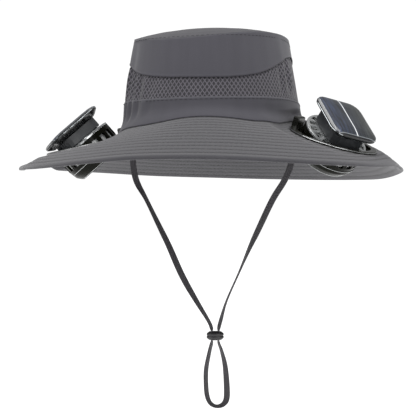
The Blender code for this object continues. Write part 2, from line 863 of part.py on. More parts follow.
def spoked_plate(name, material, rows, ring_rows, spoke_count, thickness):
    columns_per_spoke = 3
    columns = spoke_count * columns_per_spoke

    def surface(drop):
        def place(row, column):
            angle = 2.0 * pi * (column - 0.5) / columns
            radius, height = rows[row]
            return radius * cos(angle), radius * sin(angle), height - drop
        return place

    def is_solid(row, column):
        return row in ring_rows or column % columns_per_spoke == 0
    plate = windowed_shell(len(rows), columns, surface(0.0), surface(thickness), is_solid)
    return new_object(name, plate, material)


def bottom_guard(name, material):
    shares = (0.05, 0.34, 0.61, 0.68, 0.89, 1.0)
    rows = [(share * LINER_RADIUS, GUARD_TOP) for share in shares]
    return spoked_plate(name, material, rows, (0, 2, 4), 8, GUARD_THICKNESS)


def top_grille(name, material):
    rows = (
        (0.13 * DRUM_RADIUS, GRILLE_TOP),
        (0.69 * DRUM_RADIUS, GRILLE_TOP),
        (DRUM_INSIDE, 0.5 * (GRILLE_TOP + GRILLE_EDGE)),
        (DRUM_RADIUS, GRILLE_EDGE),
    )
    return spoked_plate(name, material, rows, (0, 2), 16, GRILLE_THICKNESS)


def fan_motor(name, material):
    profile = (
        (MOTOR_RADIUS, MOTOR_BOTTOM),
        (MOTOR_RADIUS, MOTOR_TOP - 0.12 * MOTOR_HEIGHT),
        (0.92 * MOTOR_RADIUS, MOTOR_TOP),
        (SHAFT_RADIUS, MOTOR_TOP),
        (SHAFT_RADIUS, MOTOR_TOP + SHAFT_LENGTH),
    )
    return new_object(name, turned_solid(profile, 24), material)


def fan_rotor(name, material):
    bore = SHAFT_RADIUS + GAP
    profile = (
        (HUB_RADIUS, HUB_BOTTOM),
        (HUB_RADIUS, HUB_TOP - 0.12 * HUB_HEIGHT),
        (0.88 * HUB_RADIUS, HUB_TOP),
        (bore, HUB_TOP),
        (bore, HUB_BOTTOM),
    )
    item = new_object(name, turned_ring(profile, 24), material)
    root = HUB_RADIUS - BLADE_THICKNESS
    middle = 0.5 * (HUB_BOTTOM + HUB_TOP)
    sections = (
        # radius, half height as a share of the hub's, lean in degrees
        (root, 0.5, 0.0),
        (0.5 * (root + BLADE_RADIUS), 0.68, 7.0),
        (BLADE_RADIUS, 0.78, 15.0),
    )
    for blade in range(BLADE_COUNT):
        loops = []
        for radius, share, lean in sections:
            half_high = 0.5 * share * HUB_HEIGHT
            loop = []
            for chord, lift in ((-1.0, -0.5), (0.0, -0.5), (1.0, -0.5), (1.0, 0.5), (0.0, 0.5), (-1.0, 0.5)):
                angle = radians(lean + 19.0 * chord)
                height = middle + chord * half_high + lift * BLADE_THICKNESS
                loop.append((radius * cos(angle), radius * sin(angle), height))
            loops.append(loop)
        solid = lofted(loops)
        bmesh.ops.triangulate(solid, faces=solid.faces)
        turn = Matrix.Rotation(2.0 * pi * blade / BLADE_COUNT, 4, "Z")
        combined(item, moved(solid, turn), "UNION")
    return item


# The battery box and the solar panel on top of the head
def battery_box(name, material):
    edge = 0.12 * BOX_CORNER
    loops = []
    for inset, height in ((edge, BOX_BOTTOM), (0.0, BOX_BOTTOM + edge), (0.0, BOX_BOTTOM + BOX_HEIGHT)):
        length = BOX_LENGTH - 2.0 * inset
        width = BOX_WIDTH - 2.0 * inset
        loops.append(rounded_rectangle(length, width, BOX_CORNER - inset, height, PANEL_TURN, 3))
    return new_object(name, lofted(loops), material)


def panel_solid(name, material, sections):
    loops = []
    for inset, height in sections:
        corner = max(PANEL_CORNER - inset, 0.3 * PANEL_CORNER)
        length = PANEL_LENGTH - 2.0 * inset
        width = PANEL_WIDTH - 2.0 * inset
        loops.append(rounded_rectangle(length, width, corner, height, PANEL_TURN, 5))
    return new_object(name, lofted(loops), material)


def panel_shell(name, material):
    sections = (
        (SHELL_TAPER, SHELL_BOTTOM),
        (0.7 * SHELL_TAPER, SHELL_BOTTOM + 0.2 * SHELL_HEIGHT),
        (0.13 * SHELL_TAPER, SHELL_BOTTOM + 0.73 * SHELL_HEIGHT),
        (0.0, SHELL_BOTTOM + 0.88 * SHELL_HEIGHT),
        (0.0, SHELL_BOTTOM + SHELL_HEIGHT),
    )
    return panel_solid(name, material, sections)


def panel_trim(name, material):
    sections = (
        (0.0, TRIM_BOTTOM),
        (-0.5 * TRIM_HEIGHT, TRIM_BOTTOM + 0.5 * TRIM_HEIGHT),
        (0.0, TRIM_BOTTOM + TRIM_HEIGHT),
    )
    return panel_solid(name, material, sections)


def solar_panel(name, material):
    sections = (
        (0.0, GLASS_BOTTOM),
        (0.004 * PANEL_WIDTH, GLASS_BOTTOM + 0.24 * GLASS_RISE),
        (0.045 * PANEL_WIDTH, GLASS_BOTTOM + 0.55 * GLASS_RISE),
        (0.14 * PANEL_WIDTH, GLASS_BOTTOM + 0.82 * GLASS_RISE),
        (0.28 * PANEL_WIDTH, GLASS_BOTTOM + GLASS_RISE),
    )
    return panel_solid(name, material, sections)


# Build every piece
crown_tip()
crown_side()
crown_mesh()
crown_band()
brim()
chin_strap()
cord_lock()

rings = {side: ring_frame(side) for side, _ in SIDES}
heads = {side: head_frame(side) for side, _ in SIDES}
panels = {side: panel_frame(side) for side, _ in SIDES}
ring_centres = {side: rings[side].translation.copy() for side, _ in SIDES}
pivots = {side: pivot_point(side) for side, _ in SIDES}
place_pair("ring_top", ring_top, rings, ring_centres, ring_plastic())
cut_pin_sockets()
place_pair("ring_bottom", ring_bottom, rings, ring_centres, ring_plastic())
place_pair("fan_housing", fan_housing, heads, pivots, housing_plastic())
place_pair("fan_liner", fan_liner, heads, pivots, silver_plastic())
place_pair("top_grille", top_grille, heads, pivots, silver_plastic())
place_pair("bottom_guard", bottom_guard, heads, pivots, housing_plastic())
place_pair("fan_motor", fan_motor, heads, pivots, motor_steel())
place_pair("fan_rotor", fan_rotor, heads, pivots, silver_plastic())
place_pair("battery_box", battery_box, panels, pivots, box_plastic())
place_pair("panel_shell", panel_shell, panels, pivots, shell_plastic())
place_pair("panel_trim", panel_trim, panels, pivots, chrome_trim())
place_pair("solar_panel", solar_panel, panels, pivots, cell_glass())
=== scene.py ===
import bpy
import bmesh
import numpy as np
from math import cos, hypot, pi, radians, sin
from mathutils import Matrix, Vector


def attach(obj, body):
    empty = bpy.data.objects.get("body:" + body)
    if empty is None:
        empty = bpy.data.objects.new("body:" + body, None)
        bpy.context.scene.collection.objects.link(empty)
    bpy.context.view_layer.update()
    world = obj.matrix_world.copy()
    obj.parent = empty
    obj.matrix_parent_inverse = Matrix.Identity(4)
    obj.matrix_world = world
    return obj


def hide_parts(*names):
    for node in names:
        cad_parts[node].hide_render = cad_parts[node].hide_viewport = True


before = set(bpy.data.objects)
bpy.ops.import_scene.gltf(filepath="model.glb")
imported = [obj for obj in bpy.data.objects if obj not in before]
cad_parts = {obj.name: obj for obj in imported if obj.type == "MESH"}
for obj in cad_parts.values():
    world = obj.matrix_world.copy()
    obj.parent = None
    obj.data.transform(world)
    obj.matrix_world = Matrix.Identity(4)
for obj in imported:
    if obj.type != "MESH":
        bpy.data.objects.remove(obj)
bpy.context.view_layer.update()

MM = 0.001


# The camera: level, turned a little towards the wearer's left, and one metre from the hanging hat.
# The hat fills the width of the picture and the loop of the strap ends just above its lower edge.
VIEW_TURN = radians(21.0)
VIEW_DISTANCE = 1.0
VIEW_HEIGHT = -85.0 * MM
VIEW_SHIFT = 5.0 * MM
PICTURE_WIDTH_AT_HAT = 0.416
camera_data = bpy.data.cameras.new("camera")
camera_data.sensor_width = 36.0
camera_data.lens = camera_data.sensor_width * VIEW_DISTANCE / PICTURE_WIDTH_AT_HAT
camera = bpy.data.objects.new("camera", camera_data)
camera.location = (
    -VIEW_SHIFT * cos(VIEW_TURN) + VIEW_DISTANCE * sin(VIEW_TURN),
    -VIEW_SHIFT * sin(VIEW_TURN) - VIEW_DISTANCE * cos(VIEW_TURN),
    VIEW_HEIGHT,
)
camera.rotation_euler = (0.5 * pi, 0.0, VIEW_TURN)
bpy.context.scene.collection.objects.link(camera)
bpy.context.scene.camera = camera


# The chin strap: one flat polyester ribbon, sewn in at each side of the head opening.
# It hangs in a V, passes twice through the cord lock and ends in a loop, twisting as it goes.
RIBBON_WIDTH = 6.4 * MM
RIBBON_THICKNESS = 1.5 * MM
STRAP_PLANE_TURN = radians(21.0)
TURN_START = -120.0 * MM
TURN_LENGTH = 70.0 * MM
STRAP_ROUTE = (
    # across, height, degrees the ribbon is turned to face the front
    (-83.0, 0.5, 0.0),
    (-82.0, -8.0, 0.0),
    (-84.4, -20.0, 30.0),
    (-88.2, -34.5, 80.0),
    (-84.6, -56.2, 60.0),
    (-72.9, -76.8, 18.0),
    (-56.5, -107.4, 33.0),
    (-34.7, -147.8, 70.0),
    (-16.9, -177.6, 44.0),
    (-4.9, -197.2, 26.0),
    (-1.6, -204.8, 27.0),
    (-1.1, -208.4, 6.0),
    (-1.1, -212.6, 0.0),
    (-1.1, -216.8, 6.0),
    (-1.5, -220.4, 27.0),
    (-3.6, -229.0, 34.0),
    (-6.7, -245.0, 42.0),
    (-7.1, -258.0, 42.0),
    (-6.0, -272.0, 42.0),
    (-2.5, -280.2, 30.0),
    (4.0, -283.3, 18.0),
    (10.8, -280.6, 42.0),
    (13.9, -272.0, 72.0),
    (12.4, -245.0, 50.0),
    (8.9, -229.0, 30.0),
    (5.9, -220.4, 20.0),
    (5.5, -216.8, 5.0),
    (5.5, -212.6, 0.0),
    (5.5, -208.4, 6.0),
    (5.8, -204.8, 25.0),
    (7.9, -196.7, 28.0),
    (14.1, -176.5, 10.0),
    (27.8, -146.4, 22.0),
    (47.4, -106.6, 78.0),
    (62.1, -77.2, 90.0),
    (74.6, -57.7, 90.0),
    (81.2, -41.2, 85.0),
    (83.4, -22.0, 30.0),
    (82.0, -8.0, 0.0),
    (82.8, 0.5, 0.0),
)


def linear(colour):
    channels = [int(colour[k:k + 2], 16) / 255.0 for k in (1, 3, 5)]
    return (*[c / 12.92 if c <= 0.04045 else ((c + 0.055) / 1.055) ** 2.4 for c in channels], 1.0)


def new_material(name):
    material = bpy.data.materials.new(name)
    material.use_nodes = True
    material.node_tree.nodes.clear()
    return material, material.node_tree


def add_node(tree, kind, values=None, links=None, **settings):
    node = tree.nodes.new("ShaderNode" + kind)
    for name, value in settings.items():
        setattr(node, name, value)
    for socket, value in (values or {}).items():
        node.inputs[socket].default_value = value
    for socket, source in (links or {}).items():
        # A node given as a source stands for its first output
        output = source.outputs[0] if isinstance(source, bpy.types.Node) else source
        tree.links.new(output, node.inputs[socket])
    return node


def noise(tree, place, scale, detail=2.0):
    return add_node(tree, "TexNoise", {"Scale": scale, "Detail": detail}, {"Vector": place})


def maths(tree, operation, *terms, use_clamp=False):
    # Each term is a number, or a node that gives one
    values = {socket: term for socket, term in enumerate(terms) if isinstance(term, (int, float))}
    links = {socket: term for socket, term in enumerate(terms) if socket not in values}
    return add_node(tree, "Math", values, links, operation=operation, use_clamp=use_clamp)


def blend(tree, share, first, second):
    # Two colours mixed, each given as #rrggbb or as the outcome of another mix
    colours = {6: first, 7: second}
    values = {socket: linear(colour) for socket, colour in colours.items() if isinstance(colour, str)}
    links = {socket: colour for socket, colour in colours.items() if socket not in values}
    return add_node(tree, "Mix", values, {0: share, **links}, data_type="RGBA").outputs[2]


def surface(tree, colour, values, bump=None, rough=None):
    # The shader and the material's output. A bump is its strength, its depth and the node that it follows.
    links = {"Base Color": colour}
    if bump is not None:
        strength, depth, height = bump
        links["Normal"] = add_node(
            tree, "Bump", {"Strength": strength, "Distance": depth}, {"Height": height}
        )
    if rough is not None:
        links["Roughness"] = rough
    shader = add_node(tree, "BsdfPrincipled", values, links)
    add_node(tree, "OutputMaterial", links={0: shader})


def strap_webbing():
    # Woven polyester ribbon: dull charcoal, with fine lengthwise ribs crossed by a slanting weft.
    # Its ribs are 0.4 mm apart in life and are drawn 1.1 mm apart, so that they show.
    material, tree = new_material("strap_woven_polyester")
    place = add_node(tree, "UVMap", uv_map="cloth")
    split = add_node(tree, "SeparateXYZ", links={0: place})
    rib_turn = maths(tree, "MULTIPLY", split, 2.0 * pi / 1.1)
    rib = maths(tree, "SINE", rib_turn)
    slant = add_node(tree, "VectorMath", {1: (2.6, 3.4, 0.0)}, {0: place}, operation="DOT_PRODUCT")
    weft = maths(tree, "SINE", slant.outputs["Value"])
    weave = maths(tree, "ADD", rib, weft)
    dust = noise(tree, place, 0.12, 3.0)
    tone = maths(tree, "MULTIPLY_ADD", weave, 0.14, 0.5)
    worn = maths(tree, "MULTIPLY_ADD", dust, 0.6, tone)
    ramp = blend(tree, worn, "#2b292c", "#403e42")
    surface(
        tree,
        ramp,
        {"Roughness": 0.75, "IOR": 1.5, "Sheen Weight": 0.25, "Sheen Roughness": 0.4},
        (0.5, 0.25 * MM, weave),
    )
    return material


def smooth_route(rows, steps):
    points = np.array(rows, dtype=float)
    ends = np.vstack((2.0 * points[0] - points[1], points, 2.0 * points[-1] - points[-2]))
    route = []
    for k in range(len(points) - 1):
        before, start, end, after = ends[k:k + 4]
        for step in range(steps):
            t = step / steps
            bend = 2.0 * before - 5.0 * start + 4.0 * end - after
            twist = 3.0 * (start - end) + after - before
            route.append(0.5 * (2.0 * start + (end - before) * t + bend * t ** 2 + twist * t ** 3))
    route.append(points[-1])
    return route


def strap_plane_turn(height):
    share = min(max((TURN_START - height) / TURN_LENGTH, 0.0), 1.0)
    return STRAP_PLANE_TURN * share * share * (3.0 - 2.0 * share)


def strap_point(across, height):
    turn = strap_plane_turn(height)
    return Vector((across * cos(turn), across * sin(turn), height))


def grid_mesh(name, points, uvs, material, close_rows=False):
    # A cloth surface from rows of points that each run round the hat and close on themselves
    row_count, column_count = points.shape[:2]
    rows = np.arange(row_count if close_rows else row_count - 1)
    columns = np.arange(column_count)
    low, here = np.meshgrid(rows, columns, indexing="ij")
    high = (low + 1) % row_count
    there = (here + 1) % column_count
    corners = [(low, here), (low, there), (high, there), (high, here)]
    faces = np.stack([r * column_count + c for r, c in corners], axis=-1).reshape(-1, 4)
    mesh = bpy.data.meshes.new(name)
    mesh.from_pydata(points.reshape(-1, 3).tolist(), [], faces.tolist())
    layer = mesh.uv_layers.new(name="cloth")
    ends = [(low, here), (low, here + 1), (low + 1, here + 1), (low + 1, here)]
    corner_uvs = np.stack([uvs[r, c] for r, c in ends], axis=-2).reshape(-1, 2)
    layer.data.foreach_set("uv", corner_uvs.astype(np.float32).ravel())
    mesh.materials.append(material)
    mesh.shade_smooth()
    item = bpy.data.objects.new(name, mesh)
    bpy.context.scene.collection.objects.link(item)
    return item


def chin_strap():
    route = smooth_route(STRAP_ROUTE, 9)
    centres = [strap_point(row[0] * MM, row[1] * MM) for row in route]
    section_steps = 20
    points = np.zeros((len(centres), section_steps, 3))
    uvs = np.zeros((len(centres), section_steps + 1, 2))
    travelled = 0.0
    for k, centre in enumerate(centres):
        before = centres[max(k - 1, 0)]
        after = centres[min(k + 1, len(centres) - 1)]
        along = (after - before).normalized()
        turn = strap_plane_turn(centre.z)
        away = Vector((-sin(turn), cos(turn), 0.0))
        away = (away - along * away.dot(along)).normalized()
        across = along.cross(away)
        face = radians(route[k][2])
        wide = away * cos(face) + across * sin(face)
        thin = along.cross(wide)
        travelled += (centre - centres[max(k - 1, 0)]).length
        for step in range(section_steps + 1):
            angle = 2.0 * pi * step / section_steps
            side = np.sign(cos(angle)) * abs(cos(angle)) ** 0.55 * 0.5 * RIBBON_WIDTH
            lift = np.sign(sin(angle)) * abs(sin(angle)) ** 0.75 * 0.5 * RIBBON_THICKNESS
            if step < section_steps:
                points[k, step] = centre + wide * side + thin * lift
            uvs[k, step] = (side / MM, travelled / MM)
    strap = grid_mesh("chin_strap_ribbon", points, uvs, strap_webbing())
    ribbon = bmesh.new()
    ribbon.from_mesh(strap.data)
    bmesh.ops.holes_fill(ribbon, edges=[edge for edge in ribbon.edges if edge.is_boundary])
    bmesh.ops.recalc_face_normals(ribbon, faces=ribbon.faces)
    ribbon.to_mesh(strap.data)
    ribbon.free()
    return strap, centres


strap, strap_centres = chin_strap()
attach(strap, "hat")
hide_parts("chin_strap")


# The cord lock: a moulded nylon bead with a sprung pinch through it, holding both strands.
# It is a rounded bar with a groove round its waist and a raised lip where the strands go in.
LOCK_HALF_WIDTH = 8.8 * MM
LOCK_HALF_DEPTH = 5.6 * MM
LOCK_HEIGHT = 9.0 * MM
LOCK_LEVEL = -212.6 * MM
LOCK_ACROSS = 2.2 * MM
LOCK_CHANNEL_OFFSET = 3.3 * MM


def select_only(item):
    bpy.ops.object.select_all(action="DESELECT")
    bpy.context.view_layer.objects.active = item
    item.select_set(True)


def select_faces(item, wanted):
    # In edit mode: only the faces whose centre and normal pass the test are left selected
    bpy.ops.mesh.select_mode(type="FACE")
    bpy.ops.mesh.select_all(action="DESELECT")
    editing = bmesh.from_edit_mesh(item.data)
    for face in editing.faces:
        if wanted(face.calc_center_median(), face.normal):
            face.select_set(True)
    bmesh.update_edit_mesh(item.data)


def select_edges(item, wanted):
    # In edit mode: only the edges whose two ends pass the test are left selected
    bpy.ops.mesh.select_mode(type="EDGE")
    bpy.ops.mesh.select_all(action="DESELECT")
    editing = bmesh.from_edit_mesh(item.data)
    for edge in editing.edges:
        if wanted(edge.verts[0].co, edge.verts[1].co):
            edge.select_set(True)
    bmesh.update_edit_mesh(item.data)


def apply_modifiers(item):
    select_only(item)
    for modifier in list(item.modifiers):
        bpy.ops.object.modifier_apply(modifier=modifier.name)


def freeze_place(item):
    # The finished piece's place goes into its mesh
    select_only(item)
    bpy.ops.object.transform_apply(location=True, rotation=True, scale=True)


def lock_nylon():
    # Moulded black nylon: a half-gloss skin with a fine grain that breaks up its highlights.
    material, tree = new_material("lock_moulded_nylon")
    place = add_node(tree, "TexCoord").outputs["Object"]
    grain = noise(tree, place, 1500.0)
    smear = noise(tree, place, 160.0, 3.0)
    rough = add_node(tree, "MapRange", {3: 0.32, 4: 0.5}, {0: smear})
    tone = blend(tree, smear, "#161517", "#2a292b")
    surface(tree, tone, {"IOR": 1.53}, (0.12, 0.1 * MM, grain), rough)
    return material


def cord_lock():
    bpy.ops.object.select_all(action="DESELECT")
    bpy.ops.mesh.primitive_cylinder_add(vertices=32, radius=1.0, depth=2.0)
    lock = bpy.context.active_object
    lock.name = "cord_lock_bead"
    lock.scale = (LOCK_HALF_WIDTH, LOCK_HALF_DEPTH, 0.5 * LOCK_HEIGHT)
    freeze_place(lock)
    bpy.ops.object.mode_set(mode="EDIT")
    for level in (-0.52, -0.2, 0.0, 0.2, 0.52):
        bpy.ops.mesh.select_all(action="SELECT")
        bpy.ops.mesh.bisect(plane_co=(0.0, 0.0, level * 0.5 * LOCK_HEIGHT), plane_no=(0.0, 0.0, 1.0))
    waist = 0.01 * LOCK_HEIGHT
    select_edges(lock, lambda a, b: abs(a.z) < waist and abs(b.z) < waist)
    bpy.ops.transform.resize(value=(0.9, 0.86, 1.0))
    for side in (-1.0, 1.0):
        select_faces(lock, lambda centre, normal: normal.z * side > 0.9)
        bpy.ops.transform.resize(value=(0.66, 0.62, 1.0))
        bpy.ops.mesh.inset(thickness=0.1 * LOCK_HALF_DEPTH)
    bpy.ops.object.mode_set(mode="OBJECT")
    rounding = lock.modifiers.new("round", "SUBSURF")
    rounding.levels = 2
    rounding.render_levels = 2
    for offset in (-LOCK_CHANNEL_OFFSET, LOCK_CHANNEL_OFFSET):
        bpy.ops.mesh.primitive_cube_add(size=1.0, location=(offset, 0.0, 0.0))
        channel = bpy.context.active_object
        channel.scale = (RIBBON_THICKNESS + 0.6 * MM, RIBBON_WIDTH + 0.6 * MM, 3.0 * LOCK_HEIGHT)
        freeze_place(channel)
        cut = lock.modifiers.new("channel", "BOOLEAN")
        cut.object = channel
        cut.solver = "EXACT"
        apply_modifiers(lock)
        bpy.data.objects.remove(channel, do_unlink=True)
    select_only(lock)
    bpy.ops.object.shade_smooth_by_angle(angle=radians(40.0))
    lock.rotation_euler = (0.0, 0.0, STRAP_PLANE_TURN)
    lock.location = strap_point(LOCK_ACROSS, LOCK_LEVEL)
    freeze_place(lock)
    lock.data.materials.clear()
    lock.data.materials.append(lock_nylon())
    return lock


lock = cord_lock()
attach(lock, "hat")
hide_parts("cord_lock")


# The crown's cloth band at the brim: plain polyester, sewn to the brim and to the mesh above it.
# It pinches in above its foot, which spreads over the brim, and it ripples where the strap is sewn in.
SEAM_HALF_WIDTH = 93.0 * MM
HALF_LENGTH_EXTRA = 18.0 * MM
SIDE_TOP = 82.0 * MM
BAND_HEIGHT_FRONT = 15.0 * MM
BAND_HEIGHT_SIDE = 20.0 * MM
PINCH_DEPTH = 7.2 * MM
PINCH_HEIGHT = 10.0 * MM
PINCH_SPREAD = radians(28.0)
RING_FORWARD = radians(10.4)
RING_DROP = 22.2 * MM
RING_DISTANCE = 130.47 * MM
RING_REST = {
    # side: degrees leaned outward, degrees leaned forward
    "left": (20.3, 4.5),
    "right": (11.3, 6.8),
}
FLAT_RADIUS = 48.77 * MM
FLAT_BLEND = 21.0 * MM
BRIM_HALF_WIDTH = 186.5 * MM
BRIM_HALF_LENGTH = 201.5 * MM
BRIM_FALL = 46.0 * MM
RIM_FALL = (
    # degrees round from the left side toward the back, share of the brim's fall
    (-30.0, 1.02),
    (0.0, 1.01),
    (21.0, 1.03),
    (42.0, 1.13),
    (66.0, 1.1),
    (91.0, 1.05),
    (112.0, 1.0),
    (133.0, 0.97),
    (152.0, 0.92),
    (180.0, 0.91),
    (210.0, 1.0),
    (240.0, 1.05),
    (256.0, 1.01),
    (271.0, 0.94),
    (290.0, 0.94),
    (315.0, 1.01),
    (328.0, 1.02),
    (360.0, 1.01),
    (390.0, 1.08),
)
SEAM_SAG = (
    # degrees from the front towards the wearer's left, mm the cloth brim sags at its seam
    (-180.0, 0.0),
    (-100.0, 0.0),
    (-75.0, 2.0),
    (-52.0, 2.0),
    (-36.0, 4.5),
    (-20.0, 9.5),
    (-6.0, 9.0),
    (8.0, 4.0),
    (24.0, 3.8),
    (45.0, 7.5),
    (65.0, 3.5),
    (85.0, 0.0),
    (180.0, 0.0),
)
SEAM_FOLD = 5.0 * MM
SEAM_FOLD_KEEPS = 0.4
FOLDED_SIDE = "left"
BRIM_SAGS = (
    # degrees from the front towards the wearer's left, width in degrees,
    # share of the way out to the rim, width as a share of it, depth mm
    (-58.0, 24.0, 0.12, 0.36, 19.0),
    (-30.0, 20.0, 0.3, 0.3, 2.5),
)
CROWN_COLUMNS = 480
BAND_ROWS = 26
BAND_FOOT_HEIGHT = 0.6 * MM
BAND_EDGE_REACH = 1.5 * MM
BAND_EDGE_TUCK = 0.8 * MM
CLOTH_WALL = 1.0 * MM
CROWN_OUTLINE = (
    # share of the side's height, share of the seam's half width
    (0.0, 1.0),
    (0.036, 0.974),
    (0.072, 0.945),
    (0.11, 0.927),
    (0.159, 0.92),
    (0.22, 0.915),
    (0.317, 0.899),
    (0.476, 0.877),
    (0.769, 0.832),
    (0.878, 0.816),
    (0.976, 0.802),
    (1.0, 0.798),
)
PANEL_EDGE = (
    # degrees round from the middle of the dip, share of the side's height
    (0.0, 0.402),
    (15.0, 0.41),
    (27.0, 0.439),
    (38.0, 0.487),
    (48.0, 0.554),
    (58.0, 0.629),
    (72.0, 0.732),
    (90.0, 0.78),
)
PANEL_EDGE_MIDDLE = 13.0
BAND_FOLDS = (
    # degrees from the front towards the wearer's left, width in degrees, depth mm, lowest mm, highest mm
    (-44.0, 1.6, 0.8, 5.0, 19.0),
    (-40.0, 1.5, -1.6, 1.0, 21.0),
    (-36.0, 1.6, 1.2, 2.0, 21.0),
    (-32.0, 1.5, -1.6, 2.0, 20.0),
    (-28.0, 1.6, 1.1, 3.0, 20.0),
    (-24.0, 1.6, -1.3, 3.0, 19.0),
    (-19.0, 1.8, 0.8, 4.0, 18.0),
    (-14.0, 2.2, -0.6, 4.0, 17.0),
    (88.0, 9.0, -1.6, 3.0, 12.0),
    (104.0, 7.0, -2.2, 1.5, 9.0),
    (97.0, 8.0, 1.2, 8.0, 17.0),
    (60.0, 12.0, -0.6, 3.0, 14.0),
    (-75.0, 5.0, -1.6, 1.0, 9.0),
    (150.0, 3.0, -0.8, 2.0, 18.0),
    (165.0, 4.0, 0.7, 3.0, 19.0),
    (-150.0, 4.0, -0.8, 2.0, 18.0),
    (-120.0, 2.4, 0.7, 3.0, 19.0),
    (-114.0, 2.6, -0.8, 3.0, 19.0),
)


def softened(table, at, spread):
    places = [row[0] for row in table]
    values = [row[1] for row in table]
    offsets = np.linspace(-spread, spread, 9)
    weights = 1.0 - (offsets / (1.2 * spread)) ** 2
    total = 0.0
    for weight, offset in zip(weights, offsets):
        total = total + weight * np.interp(np.asarray(at) + offset, places, values)
    return total / weights.sum()


def crown_half_width(height):
    rows = [(share * SIDE_TOP, width * SEAM_HALF_WIDTH) for share, width in CROWN_OUTLINE]
    return softened(rows, height, 2.0 * MM)


def ellipse_radius(half_width, half_length, angle):
    return 1.0 / np.hypot(np.cos(angle) / half_width, np.sin(angle) / half_length)


def pinch_at(angle):
    # How far the seam is drawn in beside each ring
    heading = np.arctan2(np.sin(angle), np.abs(np.cos(angle)))
    share = np.clip(np.abs(heading + RING_FORWARD) / PINCH_SPREAD, 0.0, 1.0)
    return PINCH_DEPTH * np.cos(0.5 * pi * share) ** 2


def seam_radius(angle):
    return ellipse_radius(SEAM_HALF_WIDTH, SEAM_HALF_WIDTH + HALF_LENGTH_EXTRA, angle) - pinch_at(angle)


def rim_radius(angle):
    return ellipse_radius(BRIM_HALF_WIDTH, BRIM_HALF_LENGTH, angle)


def cone_height(x, y):
    angle = np.arctan2(y, x)
    inner = seam_radius(angle)
    rim_falls = [(turn, share * BRIM_FALL) for turn, share in RIM_FALL]
    falls = softened(rim_falls, np.degrees(angle) % 360.0, 8.0)
    return -falls * (np.hypot(x, y) - inner) / (rim_radius(angle) - inner)


def frame_from(first, second, centre):
    third = first.cross(second)
    placed = Matrix((first, second, third)).transposed().to_4x4()
    placed.translation = centre
    return placed


def ring_frame(side):
    # Both sides' frames are given as on the left
    lean, tip = (radians(value) for value in RING_REST[side])
    outward = Vector((cos(RING_FORWARD), -sin(RING_FORWARD), 0.0))
    forward = Vector((-sin(RING_FORWARD), -cos(RING_FORWARD), 0.0))
    upward = Vector((0.0, 0.0, 1.0))
    normal = outward * sin(lean) * cos(tip) + forward * sin(tip) + upward * cos(lean) * cos(tip)
    across = (outward - normal * outward.dot(normal)).normalized()
    return frame_from(across, normal.cross(across), outward * RING_DISTANCE - upward * RING_DROP)


def brim_height(x, y):
    height = cone_height(x, y)
    stays = 1.0
    for side, sign in (("left", 1.0), ("right", -1.0)):
        ring = ring_frame(side)
        centre = ring.translation
        normal = ring.col[2].to_3d()
        away_x = sign * x - centre.x
        away_y = y - centre.y
        drop = -(normal.x * away_x + normal.y * away_y) / normal.z
        distance = np.sqrt(away_x ** 2 + away_y ** 2 + drop ** 2)
        share = np.clip((distance - FLAT_RADIUS) / FLAT_BLEND, 0.0, 1.0)
        weight = 1.0 - share * share * (3.0 - 2.0 * share)
        if side == FOLDED_SIDE:
            from_seam = np.clip((np.hypot(x, y) - seam_radius(np.arctan2(y, x))) / SEAM_FOLD, 0.0, 1.0)
            weight = weight * (SEAM_FOLD_KEEPS + (1.0 - SEAM_FOLD_KEEPS) * from_seam)
        height = height + weight * (centre.z + drop - height)
        stays = stays * np.sqrt(1.0 - weight)
    angle = np.arctan2(y, x)
    inner = seam_radius(angle)
    share = np.clip((np.hypot(x, y) - inner) / (rim_radius(angle) - inner), 0.0, 1.0)
    degrees = (np.degrees(angle) + 90.0 + 180.0) % 360.0 - 180.0
    sag = softened(SEAM_SAG, degrees, 10.0) * (1.0 - share) ** 2
    for middle, width, out, spread, depth in BRIM_SAGS:
        sag = sag + depth * np.exp(-((degrees - middle) / width) ** 2 - ((share - out) / spread) ** 2)
    return height - stays * sag * MM


crown_turns = 2.0 * pi * np.arange(CROWN_COLUMNS + 1) / CROWN_COLUMNS
crown_true_degrees = np.degrees(
    np.arctan2(
        0.88 * SEAM_HALF_WIDTH * np.cos(crown_turns),
        -(0.88 * SEAM_HALF_WIDTH + HALF_LENGTH_EXTRA) * np.sin(crown_turns),
    )
)
dip_distance = np.abs((crown_true_degrees - PANEL_EDGE_MIDDLE + 180.0) % 360.0 - 180.0)
dip_distance = np.minimum(dip_distance, 180.0 - dip_distance)
panel_edge_heights = softened([(d, share * SIDE_TOP) for d, share in PANEL_EDGE], dip_distance, 4.0)
seam_x = SEAM_HALF_WIDTH * np.cos(crown_turns)
seam_y = (SEAM_HALF_WIDTH + HALF_LENGTH_EXTRA) * np.sin(crown_turns)
side_share = seam_x ** 2 / (seam_x ** 2 + seam_y ** 2)
band_top_heights = BAND_HEIGHT_FRONT + (BAND_HEIGHT_SIDE - BAND_HEIGHT_FRONT) * side_share
crown_round = 2.0 * pi * (SEAM_HALF_WIDTH + 0.5 * HALF_LENGTH_EXTRA) * 0.9 / MM


def fold_depths(folds, heights, degrees):
    depth = np.zeros_like(heights)
    for middle, width, out, low, high in folds:
        turn = (degrees - middle + 180.0) % 360.0 - 180.0
        level = (heights / MM - 0.5 * (low + high)) / (0.5 * (high - low))
        depth += out * MM * np.exp(-(turn / width) ** 2) * np.clip(1.0 - level ** 2, 0.0, 1.0) ** 1.5
    return depth


def crown_points(heights, inset):
    # Points of the crown's surface at these heights, one row of heights for each ring of cloth
    half_width = crown_half_width(heights) + inset
    x = half_width * np.cos(crown_turns)
    y = (half_width + HALF_LENGTH_EXTRA) * np.sin(crown_turns)
    pinch = pinch_at(np.arctan2(y, x)) * np.clip(1.0 - heights / PINCH_HEIGHT, 0.0, 1.0)
    kept = 1.0 - pinch / np.hypot(x, y)
    return np.stack((x * kept, y * kept, heights), axis=-1)


